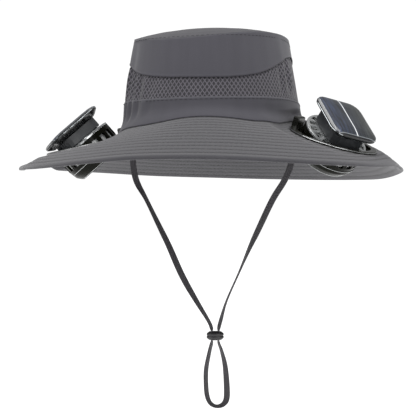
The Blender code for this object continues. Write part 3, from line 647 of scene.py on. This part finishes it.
def sewn_band(name, points, material, wall):
    round_mm = np.broadcast_to(np.arange(CROWN_COLUMNS + 1) / CROWN_COLUMNS * crown_round, points.shape[:2])
    steps = np.linalg.norm(np.diff(points, axis=0), axis=-1)
    up_mm = np.vstack((np.zeros(CROWN_COLUMNS + 1), np.cumsum(steps, axis=0))) / MM
    band = grid_mesh(name, points[:, :-1], np.stack((round_mm, up_mm), axis=-1), material)
    thicken = band.modifiers.new("thickness", "SOLIDIFY")
    thicken.thickness = wall
    thicken.offset = -1.0
    apply_modifiers(band)
    band.data.shade_smooth()
    return band


def crown_polyester(name, dark, pale):
    # Woven polyester: matt, with a soft sheen at the crown's edges and faint slubs in its threads.
    # The threads are 0.3 mm apart in life and are drawn 1.3 mm apart, so that they show.
    material, tree = new_material(name)
    place = add_node(tree, "UVMap", uv_map="cloth")
    turned = add_node(tree, "VectorMath", {1: (1.0, 1.0, 0.0)}, {0: place}, operation="MULTIPLY")
    threads = noise(tree, turned, 0.75)
    stretch = add_node(tree, "VectorMath", {1: (0.11, 0.016, 0.0)}, {0: place}, operation="MULTIPLY")
    waves = noise(tree, stretch, 1.0)
    mixed = maths(tree, "MULTIPLY", threads, 0.35)
    share = maths(tree, "MULTIPLY_ADD", waves, 0.65, mixed)
    tone = blend(tree, share, dark, pale)
    surface(
        tree,
        tone,
        {
            "Roughness": 0.9,
            "IOR": 1.45,
            "Specular IOR Level": 0.2,
            "Sheen Weight": 0.2,
            "Sheen Roughness": 0.5,
        },
        (0.25, 0.15 * MM, threads),
    )
    return material


crown_cloth = crown_polyester("crown_woven_polyester", "#434248", "#4d4c52")
band_share = np.linspace(0.0, 1.0, BAND_ROWS)[:, None]
band_heights = BAND_FOOT_HEIGHT + (band_top_heights[None, :] - BAND_FOOT_HEIGHT) * band_share
band_degrees = np.broadcast_to(crown_true_degrees, band_heights.shape)
band_inset = fold_depths(BAND_FOLDS, band_heights, band_degrees)
band_edge = np.clip((band_heights - band_top_heights) / BAND_EDGE_REACH + 1.0, 0.0, 1.0)
band_inset = band_inset - BAND_EDGE_TUCK * band_edge ** 2
band_points = crown_points(band_heights, band_inset)
foot_drop = brim_height(band_points[0, :, 0], band_points[0, :, 1])
band_points[:, :, 2] += foot_drop[None, :] * (1.0 - band_share)
band = sewn_band("crown_band_cloth", band_points, crown_cloth, CLOTH_WALL)
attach(band, "hat")
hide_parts("crown_band")


# The mesh band: warp-knitted polyester netting that lets air out of the crown.
# It is let in under the hem of the plain panel above it, and it creases at the crown's corners.
MESH_CELL_WIDTH = 4.4
MESH_CELL_HEIGHT = 6.0
MESH_ROWS = 40
MESH_WALL = 0.8 * MM
MESH_LAP_ABOVE = 1.5 * MM
MESH_LAP_BELOW = 0.3 * MM
MESH_TUCK = 0.9 * MM
MESH_HEM_REACH = 2.5 * MM
MESH_FOLDS = (
    # degrees from the front towards the wearer's left, width in degrees, depth mm, lowest mm, highest mm
    (-40.0, 4.0, -3.0, 12.0, 62.0),
    (-45.5, 1.5, 2.6, 10.0, 66.0),
    (-50.0, 1.8, -2.4, 10.0, 60.0),
    (-36.0, 1.5, 1.8, 8.0, 58.0),
    (-32.0, 1.5, -1.9, 8.0, 54.0),
    (-28.0, 1.6, 1.5, 10.0, 50.0),
    (-24.0, 1.6, -1.6, 10.0, 46.0),
    (-19.0, 1.8, 1.0, 10.0, 42.0),
    (-14.0, 2.2, -0.7, 12.0, 40.0),
    (-54.0, 1.8, -1.2, 14.0, 60.0),
    (-60.0, 2.0, 0.9, 12.0, 64.0),
    (72.0, 1.8, -1.4, 18.0, 60.0),
    (78.0, 2.0, 1.3, 20.0, 66.0),
    (84.0, 2.2, -1.6, 20.0, 66.0),
    (89.0, 2.4, 1.4, 22.0, 66.0),
    (95.0, 2.4, -1.2, 18.0, 60.0),
    (101.0, 2.6, -0.8, 18.0, 56.0),
    (135.0, 3.0, -1.4, 14.0, 60.0),
    (142.0, 2.4, 0.9, 12.0, 60.0),
    (-140.0, 4.0, -2.2, 12.0, 60.0),
    (-132.0, 2.4, 1.0, 12.0, 60.0),
    (-148.0, 2.4, 1.0, 12.0, 60.0),
)


def knitted_mesh():
    # Warp-knitted netting: thin pale threads cross in diamonds, 4.4 mm wide and 6 mm high, over holes
    # painted dark.
    material, tree = new_material("crown_knitted_mesh")
    place = add_node(tree, "UVMap", uv_map="cloth")
    across = 2.0 * pi / MESH_CELL_WIDTH
    up = 2.0 * pi / MESH_CELL_HEIGHT
    waves = []
    for lean in (1.0, -1.0):
        turn = add_node(
            tree, "VectorMath", {1: (across, lean * up, 0.0)}, {0: place}, operation="DOT_PRODUCT"
        )
        waves.append(maths(tree, "COSINE", turn.outputs["Value"]))
    net = maths(tree, "SMOOTH_MAX", waves[0], waves[1], 0.15)
    wander = noise(tree, place, 0.05)
    relief = add_node(
        tree, "MapRange", {1: 0.35, 2: 0.98, 3: 0.0, 4: 1.0}, {0: net}, interpolation_type="SMOOTHSTEP"
    )
    share = maths(tree, "MULTIPLY_ADD", wander, 0.35, -0.17)
    light = maths(tree, "ADD", relief, share, use_clamp=True)
    # The holes are painted dark: painted shade of the crown's inside seen through them, on a solid sheet.
    tone = blend(tree, light, "#363539", "#625f66")
    surface(
        tree,
        tone,
        {
            "Roughness": 0.85,
            "IOR": 1.45,
            "Specular IOR Level": 0.25,
            "Sheen Weight": 0.25,
            "Sheen Roughness": 0.4,
        },
        (0.8, 0.7 * MM, relief),
    )
    return material


mesh_share = np.linspace(0.0, 1.0, MESH_ROWS)[:, None]
mesh_tops = panel_edge_heights + MESH_LAP_ABOVE
mesh_heights = band_top_heights - MESH_LAP_BELOW + (mesh_tops - band_top_heights) * mesh_share
mesh_degrees = np.broadcast_to(crown_true_degrees, mesh_heights.shape)
mesh_inset = fold_depths(MESH_FOLDS, mesh_heights, mesh_degrees) - MESH_TUCK
under_hem = np.clip((mesh_heights - panel_edge_heights) / MESH_HEM_REACH + 1.0, 0.0, 1.0)
mesh_inset = mesh_inset - MESH_TUCK * under_hem
netting = sewn_band("crown_mesh_netting", crown_points(mesh_heights, mesh_inset), knitted_mesh(), MESH_WALL)
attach(netting, "hat")
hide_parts("crown_mesh")


# The crown's plain panel: one strip of the same polyester round the top of the crown.
# Its lower edge is hemmed and laid over the mesh, and its upper edge is sewn to the tip.
PANEL_FOLDS = (
    # degrees from the front towards the wearer's left, width in degrees, depth mm, lowest mm, highest mm
    (-47.0, 4.0, 0.9, 30.0, 86.0),
    (-37.0, 5.0, -1.2, 30.0, 80.0),
    (-18.0, 9.0, -0.5, 26.0, 84.0),
    (22.0, 14.0, 0.5, 26.0, 84.0),
    (76.0, 6.0, 0.6, 40.0, 86.0),
    (140.0, 8.0, -0.9, 30.0, 86.0),
    (-140.0, 8.0, -0.9, 30.0, 86.0),
)
SIDE_DIP = 12.0 * MM
PANEL_ROWS = 34
HEM_HEIGHT = 1.6 * MM
HEM_SWELL = 0.35 * MM
side_top_heights = SIDE_TOP - SIDE_DIP * np.abs(np.sin(crown_turns)) ** 2.4
panel_share = np.linspace(0.0, 1.0, PANEL_ROWS)[:, None]
panel_heights = panel_edge_heights + (side_top_heights - panel_edge_heights) * panel_share
panel_degrees = np.broadcast_to(crown_true_degrees, panel_heights.shape)
panel_inset = fold_depths(PANEL_FOLDS, panel_heights, panel_degrees)
hem = np.clip(1.0 - (panel_heights - panel_edge_heights) / HEM_HEIGHT, 0.0, 1.0)
panel_inset = panel_inset + HEM_SWELL * np.sin(pi * (1.0 - hem)) * (hem > 0.0)
panel = sewn_band("crown_side_panel", crown_points(panel_heights, panel_inset), crown_cloth, CLOTH_WALL)
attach(panel, "hat")
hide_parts("crown_side")


# The crown's tip: an oval of the same polyester, domed, sewn to the panel and topstitched.
# Its cloth is painted a shade darker than the panel's: painted shade that dims the light it takes from
# above.
TIP_RISE = 8.3 * MM
TIP_ROWS = 64
TIP_LAST_WIDTH = 0.006
TIP_OUTSIDE = (
    # share of the way out to the edge, share of the tip's rise
    (1.0, 0.0),
    (0.985, 0.037),
    (0.942, 0.139),
    (0.85, 0.334),
    (0.7, 0.59),
    (0.5, 0.823),
    (0.3, 0.951),
    (0.0, 1.0),
)


def crown_tip():
    path = np.array(TIP_OUTSIDE)
    reach = np.concatenate(([0.0], np.cumsum(np.hypot(np.diff(path[:, 0]), np.diff(path[:, 1]) * 0.15))))
    at = np.linspace(0.0, reach[-1], TIP_ROWS)
    width_shares = softened(list(zip(reach, path[:, 0])), at, 0.015 * reach[-1])
    rise_shares = softened(list(zip(reach, path[:, 1])), at, 0.015 * reach[-1])
    width_shares[-1] = TIP_LAST_WIDTH
    edge = crown_points(side_top_heights, 0.0)
    x = edge[:, 0] * width_shares[:, None]
    y = edge[:, 1] * width_shares[:, None]
    z = side_top_heights + rise_shares[:, None] * (SIDE_TOP + TIP_RISE - side_top_heights)
    # The tip's darker colours are painted shade on the panel's own cloth, not a different cloth.
    tip_cloth_painted_shade = crown_polyester("tip_polyester_painted_shade", "#36353a", "#3f3e43")
    tip = sewn_band("crown_tip_oval", np.stack((x, y, z), axis=-1), tip_cloth_painted_shade, CLOTH_WALL)
    closing = bmesh.new()
    closing.from_mesh(tip.data)
    bmesh.ops.remove_doubles(closing, verts=closing.verts, dist=0.02 * MM)
    bmesh.ops.holes_fill(closing, edges=[edge for edge in closing.edges if edge.is_boundary])
    bmesh.ops.recalc_face_normals(closing, faces=closing.faces)
    closing.to_mesh(tip.data)
    closing.free()
    return tip


tip = crown_tip()
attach(tip, "hat")
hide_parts("crown_tip")


# The crown's stitching: lockstitch in dark polyester thread, each stitch pulled down into the cloth.
# One line runs round just under the crown's shoulder and one holds the top of the lower band.
STITCH_STEP = 4.6 * MM
STITCH_HALF_LENGTH = 1.5 * MM
THREAD_RADIUS = 0.32 * MM
THREAD_SIDES = 6
SHOULDER_STITCH_FRONT = 72.0 * MM
SHOULDER_STITCH_SIDE = 77.5 * MM
BAND_STITCH_INSET = 2.2 * MM


def sewing_thread():
    # Twisted polyester thread: dull and darker than the cloth, with its plies showing as slanting bands.
    material, tree = new_material("stitching_polyester_thread")
    place = add_node(tree, "TexCoord").outputs["Object"]
    plies = noise(tree, place, 1400.0)
    tone = blend(tree, plies, "#232226", "#38373c")
    surface(tree, tone, {"Roughness": 0.8, "IOR": 1.5, "Specular IOR Level": 0.3}, (0.3, 0.1 * MM, plies))
    return material


def crown_surface_points(heights):
    # Points at these heights on the crown's side, or on its tip where they are above the shoulder
    tip_widths, tip_rises = np.array(TIP_OUTSIDE).T
    on_side = np.minimum(heights, side_top_heights)
    points = crown_points(on_side, 0.0)
    rise = np.clip((heights - side_top_heights) / (SIDE_TOP + TIP_RISE - side_top_heights), 0.0, 1.0)
    widths = np.interp(rise, tip_rises, tip_widths)
    points[:, :2] *= widths[:, None]
    points[:, 2] = heights
    return points


def stitch_line(name, path, material):
    steps = np.linalg.norm(np.diff(path, axis=0), axis=-1)
    travelled = np.concatenate(([0.0], np.cumsum(steps)))
    count = int(travelled[-1] / STITCH_STEP)
    sections = ((-0.8, 0.75), (0.0, 1.0), (0.8, 0.75))
    stitches = bmesh.new()
    for k in range(count):
        middle = travelled[-1] * (k + 0.5) / count
        here, before, after = (
            Vector([float(np.interp(middle + offset, travelled, path[:, axis])) for axis in range(3)])
            for offset in (0.0, -STITCH_HALF_LENGTH, STITCH_HALF_LENGTH)
        )
        along = (after - before).normalized()
        out = Vector((here.x, here.y, 0.0)).normalized()
        up = along.cross(out)
        rings = []
        for share, width in sections:
            ring = []
            for step in range(THREAD_SIDES):
                angle = 2.0 * pi * step / THREAD_SIDES
                offset = (out * cos(angle) + up * sin(angle)) * THREAD_RADIUS * width
                ring.append(stitches.verts.new(here + along * share * STITCH_HALF_LENGTH + offset))
            rings.append(ring)
        ends = [stitches.verts.new(here + along * share * STITCH_HALF_LENGTH) for share in (-1.0, 1.0)]
        for low, high in zip(rings, rings[1:]):
            for step in range(THREAD_SIDES):
                stitches.faces.new((low[step], low[step - 1], high[step - 1], high[step]))
        for end, ring in zip(ends, (rings[0], rings[-1])):
            for step in range(THREAD_SIDES):
                stitches.faces.new((end, ring[step - 1], ring[step]))
    bmesh.ops.recalc_face_normals(stitches, faces=stitches.faces)
    mesh = bpy.data.meshes.new(name)
    stitches.to_mesh(mesh)
    stitches.free()
    mesh.materials.append(material)
    mesh.shade_smooth()
    line = bpy.data.objects.new(name, mesh)
    bpy.context.scene.collection.objects.link(line)
    return line


thread = sewing_thread()
shoulder_heights = SHOULDER_STITCH_FRONT + (SHOULDER_STITCH_SIDE - SHOULDER_STITCH_FRONT) * side_share
shoulder_stitches = stitch_line("crown_shoulder_stitches", crown_surface_points(shoulder_heights), thread)
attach(shoulder_stitches, "hat")
band_stitch_path = crown_points(band_top_heights - BAND_STITCH_INSET, 0.0)
band_stitches = stitch_line("crown_band_stitches", band_stitch_path, thread)
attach(band_stitches, "hat")


# The brim: two faces of polyester over a stiff interlining, quilted together by rows of stitching.
# The rows run round it side by side, its rim is turned over and edge-stitched,
# and it lies flat at each ring.
BRIM_THICKNESS = 2.6 * MM
BRIM_EDGE_THICKNESS = 3.2 * MM
BRIM_COLUMNS = 360
BRIM_ROWS = 84
RIM_TURN_ROWS = 9
RIM_THICKENS_FROM = 0.93
RIM_THICKENS_OVER = 0.05
STITCH_ROWS = 13
STITCH_ROW_STEP = 7.4
STITCH_LENGTH = 4.4
STITCH_GROOVE = 0.35 * MM
STITCH_GROOVE_REACH = 0.9 * MM
LAST_GROOVE_SHARE = 0.95
HOLE_RADIUS = 38.67 * MM
HOLE_CUT_DEPTH = 28.0 * MM


def brim_polyester():
    # Woven polyester, quilted: matt and a little paler where the light rakes it, with rows of dark thread
    # and painted shade beside them.
    # The stitches are 2.9 mm long with 1.5 mm gaps, and their thread is drawn 2.5 mm wide.
    # The threads of the weave are drawn 1.4 mm apart. Both are coarser than life, so that they show.
    material, tree = new_material("brim_quilted_polyester")
    place = add_node(tree, "UVMap", uv_map="cloth")
    split = add_node(tree, "SeparateXYZ", links={0: place})
    row_at = maths(tree, "DIVIDE", split.outputs[1], STITCH_ROW_STEP)
    row_step = maths(tree, "PINGPONG", row_at, 0.5)
    on_rim = add_node(tree, "MapRange", {1: STITCH_ROWS - 0.5, 2: STITCH_ROWS - 0.4, 4: 0.5}, {0: row_at})
    row_from = maths(tree, "MAXIMUM", on_rim, row_step)
    near_row = add_node(tree, "MapRange", {1: 0.2, 2: 0.14}, {0: row_from})
    groove = add_node(tree, "MapRange", {1: 0.24, 2: 0.02}, {0: row_from}, interpolation_type="SMOOTHSTEP")
    stitch_at = maths(tree, "DIVIDE", split, STITCH_LENGTH)
    stitch_share = maths(tree, "FRACT", stitch_at)
    on_top = add_node(tree, "MapRange", {1: 0.68, 2: 0.62}, {0: stitch_share})
    stitch = maths(tree, "MULTIPLY", near_row, on_top)
    threads = noise(tree, place, 0.7)
    drift = noise(tree, place, 0.025)
    share = maths(tree, "MULTIPLY_ADD", threads, 0.5, drift)
    centred = maths(tree, "ADD", share, -0.25, use_clamp=True)
    cloth = blend(tree, centred, "#37363a", "#434246")
    # Beside each row of stitches the cloth is painted darker: painted shade in the quilted groove.
    groove_painted_shade = maths(tree, "MULTIPLY", groove, 0.3)
    cloth_painted_groove_shade = blend(tree, groove_painted_shade, cloth, "#262529")
    sewn = blend(tree, stitch, cloth_painted_groove_shade, "#17161a")
    raised = maths(tree, "MULTIPLY_ADD", threads, 0.25, stitch)
    surface(
        tree,
        sewn,
        {
            "Roughness": 0.88,
            "IOR": 1.45,
            "Specular IOR Level": 0.25,
            "Sheen Weight": 0.3,
            "Sheen Roughness": 0.5,
        },
        (0.5, 0.3 * MM, raised),
    )
    return material


def face_outwards(item):
    # Every face of the closed piece is turned to face away from its inside
    select_only(item)
    bpy.ops.object.mode_set(mode="EDIT")
    bpy.ops.mesh.select_all(action="SELECT")
    bpy.ops.mesh.normals_make_consistent(inside=False)
    bpy.ops.object.mode_set(mode="OBJECT")


def brim():
    flat_shares = np.linspace(-0.03, 0.985, BRIM_ROWS)
    edge_turns = np.linspace(0.5 * pi, -0.5 * pi, RIM_TURN_ROWS)[1:-1]
    edge_depth = 0.5 * BRIM_EDGE_THICKNESS / (BRIM_HALF_WIDTH - SEAM_HALF_WIDTH)
    edge_shares = 1.0 - edge_depth + edge_depth * np.cos(edge_turns)
    shares = np.concatenate((flat_shares, edge_shares, flat_shares[::-1]))
    sides = np.concatenate((np.ones(BRIM_ROWS), np.sin(edge_turns), -np.ones(BRIM_ROWS)))
    turns = 2.0 * pi * np.arange(BRIM_COLUMNS + 1) / BRIM_COLUMNS
    inner = seam_radius(turns)
    radius = inner + (rim_radius(turns) - inner) * shares[:, None]
    x = radius * np.cos(turns)
    y = radius * np.sin(turns)
    steepness = hypot(1.0, BRIM_FALL / (BRIM_HALF_WIDTH - SEAM_HALF_WIDTH))
    thicker = np.clip((shares - RIM_THICKENS_FROM) / RIM_THICKENS_OVER, 0.0, 1.0)
    half = 0.5 * BRIM_THICKNESS + 0.5 * (BRIM_EDGE_THICKNESS - BRIM_THICKNESS) * thicker
    row_from = np.abs((shares * STITCH_ROWS + 0.5) % 1.0 - 0.5) * STITCH_ROW_STEP * MM
    groove = STITCH_GROOVE * np.exp(-(row_from / STITCH_GROOVE_REACH) ** 2)
    half = half - groove * (shares < LAST_GROOVE_SHARE)
    middle = brim_height(x, y) - 0.5 * BRIM_THICKNESS * steepness
    z = middle + (sides * half * steepness)[:, None]
    across = np.concatenate((shares, [shares[0]])) * STITCH_ROWS * STITCH_ROW_STEP
    round_steps = np.hypot(np.diff(x, axis=1), np.diff(y, axis=1))
    round_mm = np.hstack((np.zeros((len(shares), 1)), np.cumsum(round_steps, axis=1))) / MM
    round_mm = np.vstack((round_mm, round_mm[:1]))
    uvs = np.stack((round_mm, np.broadcast_to(across[:, None], round_mm.shape)), axis=-1)
    cloth = grid_mesh(
        "brim_cloth", np.stack((x, y, z), axis=-1)[:, :-1], uvs, brim_polyester(), close_rows=True
    )
    face_outwards(cloth)
    for side, sign in (("left", 1.0), ("right", -1.0)):
        bpy.ops.object.select_all(action="DESELECT")
        bpy.ops.mesh.primitive_cylinder_add(vertices=96, radius=HOLE_RADIUS, depth=HOLE_CUT_DEPTH)
        cutter = bpy.context.active_object
        cutter.matrix_world = ring_frame(side)
        freeze_place(cutter)
        cutter.scale = (sign, 1.0, 1.0)
        freeze_place(cutter)
        face_outwards(cutter)
        cut = cloth.modifiers.new("ring_hole", "BOOLEAN")
        cut.object = cutter
        cut.solver = "EXACT"
        apply_modifiers(cloth)
        bpy.data.objects.remove(cutter, do_unlink=True)
    return cloth


brim_cloth = brim()
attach(brim_cloth, "hat")
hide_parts("brim")


# The rings: a moulded ABS ring on top of the brim with a collar through it, and one screwed on from below.
# Both are polished black, and the switch block stands on the upper ring's inner end.
def polished_abs(name, dark, pale, roughness, gloss=0.5):
    # Moulded ABS: dark, as glossy as its mould left it, and finely scuffed.
    material, tree = new_material(name)
    place = add_node(tree, "TexCoord").outputs["Object"]
    clouds = noise(tree, place, 70.0, 3.0)
    scuffs = noise(tree, place, 900.0)
    rough = add_node(
        tree, "MapRange", {1: 0.3, 2: 0.75, 3: roughness * 0.8, 4: roughness * 1.6}, {0: clouds}
    )
    tone = blend(tree, clouds, dark, pale)
    surface(tree, tone, {"IOR": 1.54, "Specular IOR Level": gloss}, (0.01, 0.05 * MM, scuffs), rough)
    return material


def dress_node(name, material):
    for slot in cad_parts[name].material_slots:
        slot.material = material


def plated_plastic(name, pale, dark, roughness, metallic=1.0):
    # Vacuum-plated ABS, or the drawn steel of a motor: bright metal with a faint orange peel.
    material, tree = new_material(name)
    place = add_node(tree, "TexCoord").outputs["Object"]
    peel = noise(tree, place, 420.0)
    bloom = noise(tree, place, 60.0)
    tone = blend(tree, bloom, dark, pale)
    rough = add_node(tree, "MapRange", {3: roughness * 0.7, 4: roughness * 1.4}, {0: bloom})
    surface(tree, tone, {"Metallic": metallic}, (0.03, 0.1 * MM, peel), rough)
    return material


def edge_hoop(name, frame_here, side, height, radius, wire, material):
    # A hoop of half-round plated wire, pressed flat against the part that it edges
    bpy.ops.object.select_all(action="DESELECT")
    bpy.ops.mesh.primitive_torus_add(
        major_radius=radius, minor_radius=wire, major_segments=120, minor_segments=10
    )
    hoop = bpy.context.active_object
    hoop.name = name
    hoop.scale = (1.0, 1.0, 0.7)
    hoop.location = (0.0, 0.0, height)
    freeze_place(hoop)
    hoop.matrix_world = frame_here
    freeze_place(hoop)
    if side == "right":
        hoop.scale = (-1.0, 1.0, 1.0)
        freeze_place(hoop)
        face_outwards(hoop)
    bpy.ops.object.shade_smooth()
    hoop.data.materials.append(material)
    return hoop


RING_EDGE_RADIUS = 41.9 * MM
RING_EDGE_HEIGHT = 1.45 * MM
RING_EDGE_WIRE = 0.5 * MM
ring_abs = polished_abs("ring_polished_abs", "#0c0c0a", "#1b1c14", 0.14)
ring_plate = plated_plastic("ring_edge_plated_abs", "#d4d6d6", "#a4a7a7", 0.2)
for side in ("left", "right"):
    dress_node("ring_top_" + side, ring_abs)
    dress_node("ring_bottom_" + side, ring_abs)
    ring_here = ring_frame(side)
    name = "ring_edge_" + side
    ring_edge = edge_hoop(
        name, ring_here, side, RING_EDGE_HEIGHT, RING_EDGE_RADIUS, RING_EDGE_WIRE, ring_plate
    )
    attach(ring_edge, "hat")


# The fan heads: a slotted black drum that tilts on two pins, lined with bright plated plastic.
# The motor, the blades and the guards are in it, and the battery box and solar panel are on top of it.
FAN_LEAN = radians(42.0)
FAN_FORWARD = radians(30.3)
PIVOT_SINK = 1.3 * MM
PANEL_TURN = radians(-15.7)
PANEL_HALF_LENGTH = 30.5
PANEL_HALF_WIDTH = 24.5
DRUM_LIP_HEIGHT = -20.6 * MM
DRUM_LIP_RADIUS = 25.2 * MM
DRUM_SEAM_HEIGHT = -11.6 * MM
DRUM_SEAM_RADIUS = 30.3 * MM
DRUM_EDGE_WIRE = 0.4 * MM


def fan_frame(side):
    # The fan's axis is its third axis, and its first axis points down the panel's slope
    axis = Vector((sin(FAN_LEAN) * cos(FAN_FORWARD), -sin(FAN_LEAN) * sin(FAN_FORWARD), cos(FAN_LEAN)))
    downhill = (axis * axis.z - Vector((0.0, 0.0, 1.0))).normalized()
    return frame_from(downhill, axis.cross(downhill), ring_frame(side) @ Vector((0.0, 0.0, -PIVOT_SINK)))


def solar_cell(side):
    # A solar cell under clear resin: blue-black silicon with streaks of blue and olive along it,
    # one silvered busbar down the middle and a grey border line, all below a glossy clear coat.
    material, tree = new_material("cell_covered_silicon_" + side)
    place = add_node(tree, "TexCoord").outputs["Object"]
    fan = fan_frame(side)
    sign = 1.0 if side == "left" else -1.0
    pivot = (sign * fan.translation.x, fan.translation.y, fan.translation.z)
    from_pivot = add_node(tree, "VectorMath", {1: pivot}, {0: place}, operation="SUBTRACT")
    downhill, sideways = fan.col[0].to_3d(), fan.col[1].to_3d()
    along_line = downhill * cos(PANEL_TURN) + sideways * sin(PANEL_TURN)
    across_line = sideways * cos(PANEL_TURN) - downhill * sin(PANEL_TURN)
    lengths = []
    for line in (along_line, across_line):
        towards = (sign * line.x / MM, line.y / MM, line.z / MM)
        lengths.append(
            add_node(tree, "VectorMath", {1: towards}, {0: from_pivot}, operation="DOT_PRODUCT")
        )
    along, across = (length.outputs["Value"] for length in lengths)
    flat = add_node(tree, "CombineXYZ", links={0: along, 1: across})
    drawn_out = add_node(tree, "VectorMath", {1: (0.035, 0.42, 0.0)}, {0: flat}, operation="MULTIPLY")
    streaks = add_node(
        tree, "TexNoise", {"Scale": 1.0, "Detail": 4.0, "Roughness": 0.65}, {"Vector": drawn_out}
    )
    sharp = add_node(tree, "MapRange", {1: 0.38, 2: 0.66}, {0: streaks})
    tint_at = add_node(tree, "MapRange", {1: -24.0, 2: 24.0}, {0: across})
    tint = blend(tree, tint_at, "#2b3857", "#3f423a")
    cell = blend(tree, sharp, "#0e1116", tint)
    along_from = maths(tree, "ABSOLUTE", along)
    across_from = maths(tree, "ABSOLUTE", across)
    on_bar = add_node(tree, "MapRange", {1: 0.7, 2: 0.4}, {0: across_from})
    in_cell = add_node(
        tree, "MapRange", {1: PANEL_HALF_LENGTH - 2.0, 2: PANEL_HALF_LENGTH - 2.6}, {0: along_from}
    )
    bar = maths(tree, "MULTIPLY", on_bar, in_cell)
    end_depth = maths(tree, "SUBTRACT", along_from, PANEL_HALF_LENGTH - 2.4)
    side_depth = maths(tree, "SUBTRACT", across_from, PANEL_HALF_WIDTH - 2.4)
    depth = maths(tree, "SMOOTH_MAX", end_depth, side_depth, 5.0)
    depth_from = maths(tree, "ABSOLUTE", depth)
    border = add_node(tree, "MapRange", {1: 0.55, 2: 0.25}, {0: depth_from})
    outside = add_node(tree, "MapRange", {1: 0.0, 2: 0.4}, {0: depth})
    framed = blend(tree, outside, cell, "#15171a")
    edged = blend(tree, border, framed, "#7c8084")
    barred = blend(tree, bar, edged, "#e6e8ea")
    surface(tree, barred, {"Roughness": 0.3, "IOR": 1.5, "Coat Weight": 0.6, "Coat Roughness": 0.04})
    return material


drum_abs = polished_abs("drum_polished_abs", "#080807", "#15160f", 0.2, 0.08)
liner_plate = plated_plastic("liner_silvered_abs", "#eceeed", "#cfd2d1", 0.35, 0.3)
grille_plate = plated_plastic("grille_chromed_abs", "#e4e6e6", "#c3c6c7", 0.16, 0.8)
blade_plate = plated_plastic("blade_silvered_abs", "#c9cbcb", "#a6a9a9", 0.35, 0.6)
motor_steel = plated_plastic("motor_drawn_steel", "#a7a7a5", "#828280", 0.35)
trim_plate = plated_plastic("trim_chromed_abs", "#a4a8aa", "#818587", 0.12)
box_abs = polished_abs("box_satin_abs", "#2a2c2e", "#3c3f42", 0.38)
shell_abs = polished_abs("shell_polished_abs", "#0f1011", "#1d1f20", 0.16)
for side in ("left", "right"):
    dress_node("fan_housing_" + side, drum_abs)
    dress_node("fan_liner_" + side, liner_plate)
    dress_node("top_grille_" + side, grille_plate)
    dress_node("bottom_guard_" + side, drum_abs)
    dress_node("fan_motor_" + side, motor_steel)
    dress_node("fan_rotor_" + side, blade_plate)
    dress_node("battery_box_" + side, box_abs)
    dress_node("panel_shell_" + side, shell_abs)
    dress_node("panel_trim_" + side, trim_plate)
    dress_node("solar_panel_" + side, solar_cell(side))
    fan_here = fan_frame(side)
    for name, height, radius in (
        ("drum_lip_edge_", DRUM_LIP_HEIGHT, DRUM_LIP_RADIUS),
        ("drum_seam_edge_", DRUM_SEAM_HEIGHT, DRUM_SEAM_RADIUS),
    ):
        hoop = edge_hoop(name + side, fan_here, side, height, radius, DRUM_EDGE_WIRE, ring_plate)
        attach(hoop, "fan_head_" + side)


# The floor: a sheet of plain white card, far enough below the hanging hat for its shadow to stay
# out of the camera's picture.
FLOOR_LEVEL = -620.0 * MM
bpy.ops.object.select_all(action="DESELECT")
bpy.ops.mesh.primitive_plane_add(size=30.0, location=(0.0, 0.0, FLOOR_LEVEL))
floor = bpy.context.active_object
floor.name = "floor"
freeze_place(floor)
floor_material, floor_tree = new_material("floor_white_card")
floor_place = add_node(floor_tree, "TexCoord").outputs["Object"]
floor_grain = noise(floor_tree, floor_place, 3.0)
floor_tone = blend(floor_tree, floor_grain, "#fcfcfc", "#ffffff")
surface(floor_tree, floor_tone, {"Roughness": 0.95, "Specular IOR Level": 0.1})
floor.data.materials.append(floor_material)


# The studio light: a white surround, seen by the camera at full strength and dimmer in reflections,
# a wide even light overhead that reaches the whole floor, and a softbox at each side of the camera.
bpy.context.scene.view_settings.view_transform = "Standard"
world = bpy.data.worlds.new("studio")
bpy.context.scene.world = world
world.use_nodes = True
world_tree = world.node_tree
world_tree.nodes.clear()
SURROUND_LIGHT = 0.28
seen = add_node(world_tree, "LightPath")
strength = add_node(
    world_tree, "MapRange", {3: SURROUND_LIGHT, 4: 1.05}, {0: seen.outputs["Is Camera Ray"]}
)
surround = add_node(world_tree, "Background", {0: linear("#ffffff")}, {1: strength})
add_node(world_tree, "OutputWorld", links={0: surround})


def softbox(name, place, aim, width, height, power):
    light = bpy.data.lights.new(name, "AREA")
    light.shape = "RECTANGLE"
    light.size = width
    light.size_y = height
    light.energy = power
    box = bpy.data.objects.new(name, light)
    box.location = place
    box.rotation_euler = (Vector(aim) - Vector(place)).to_track_quat("-Z", "Y").to_euler()
    bpy.context.scene.collection.objects.link(box)


softbox("softbox_right", (1.2, -1.0, 0.5), (0.0, 0.0, 0.0), 0.7, 1.1, 6.0)
softbox("softbox_left", (-0.9, -1.3, 0.5), (0.0, 0.0, 0.0), 0.7, 1.1, 6.0)
overhead_light = bpy.data.lights.new("overhead", "SUN")
overhead_light.energy = 3.3
overhead_light.angle = radians(60.0)
overhead = bpy.data.objects.new("overhead", overhead_light)
overhead.rotation_euler = (radians(8.0), radians(6.0), 0.0)
bpy.context.scene.collection.objects.link(overhead)
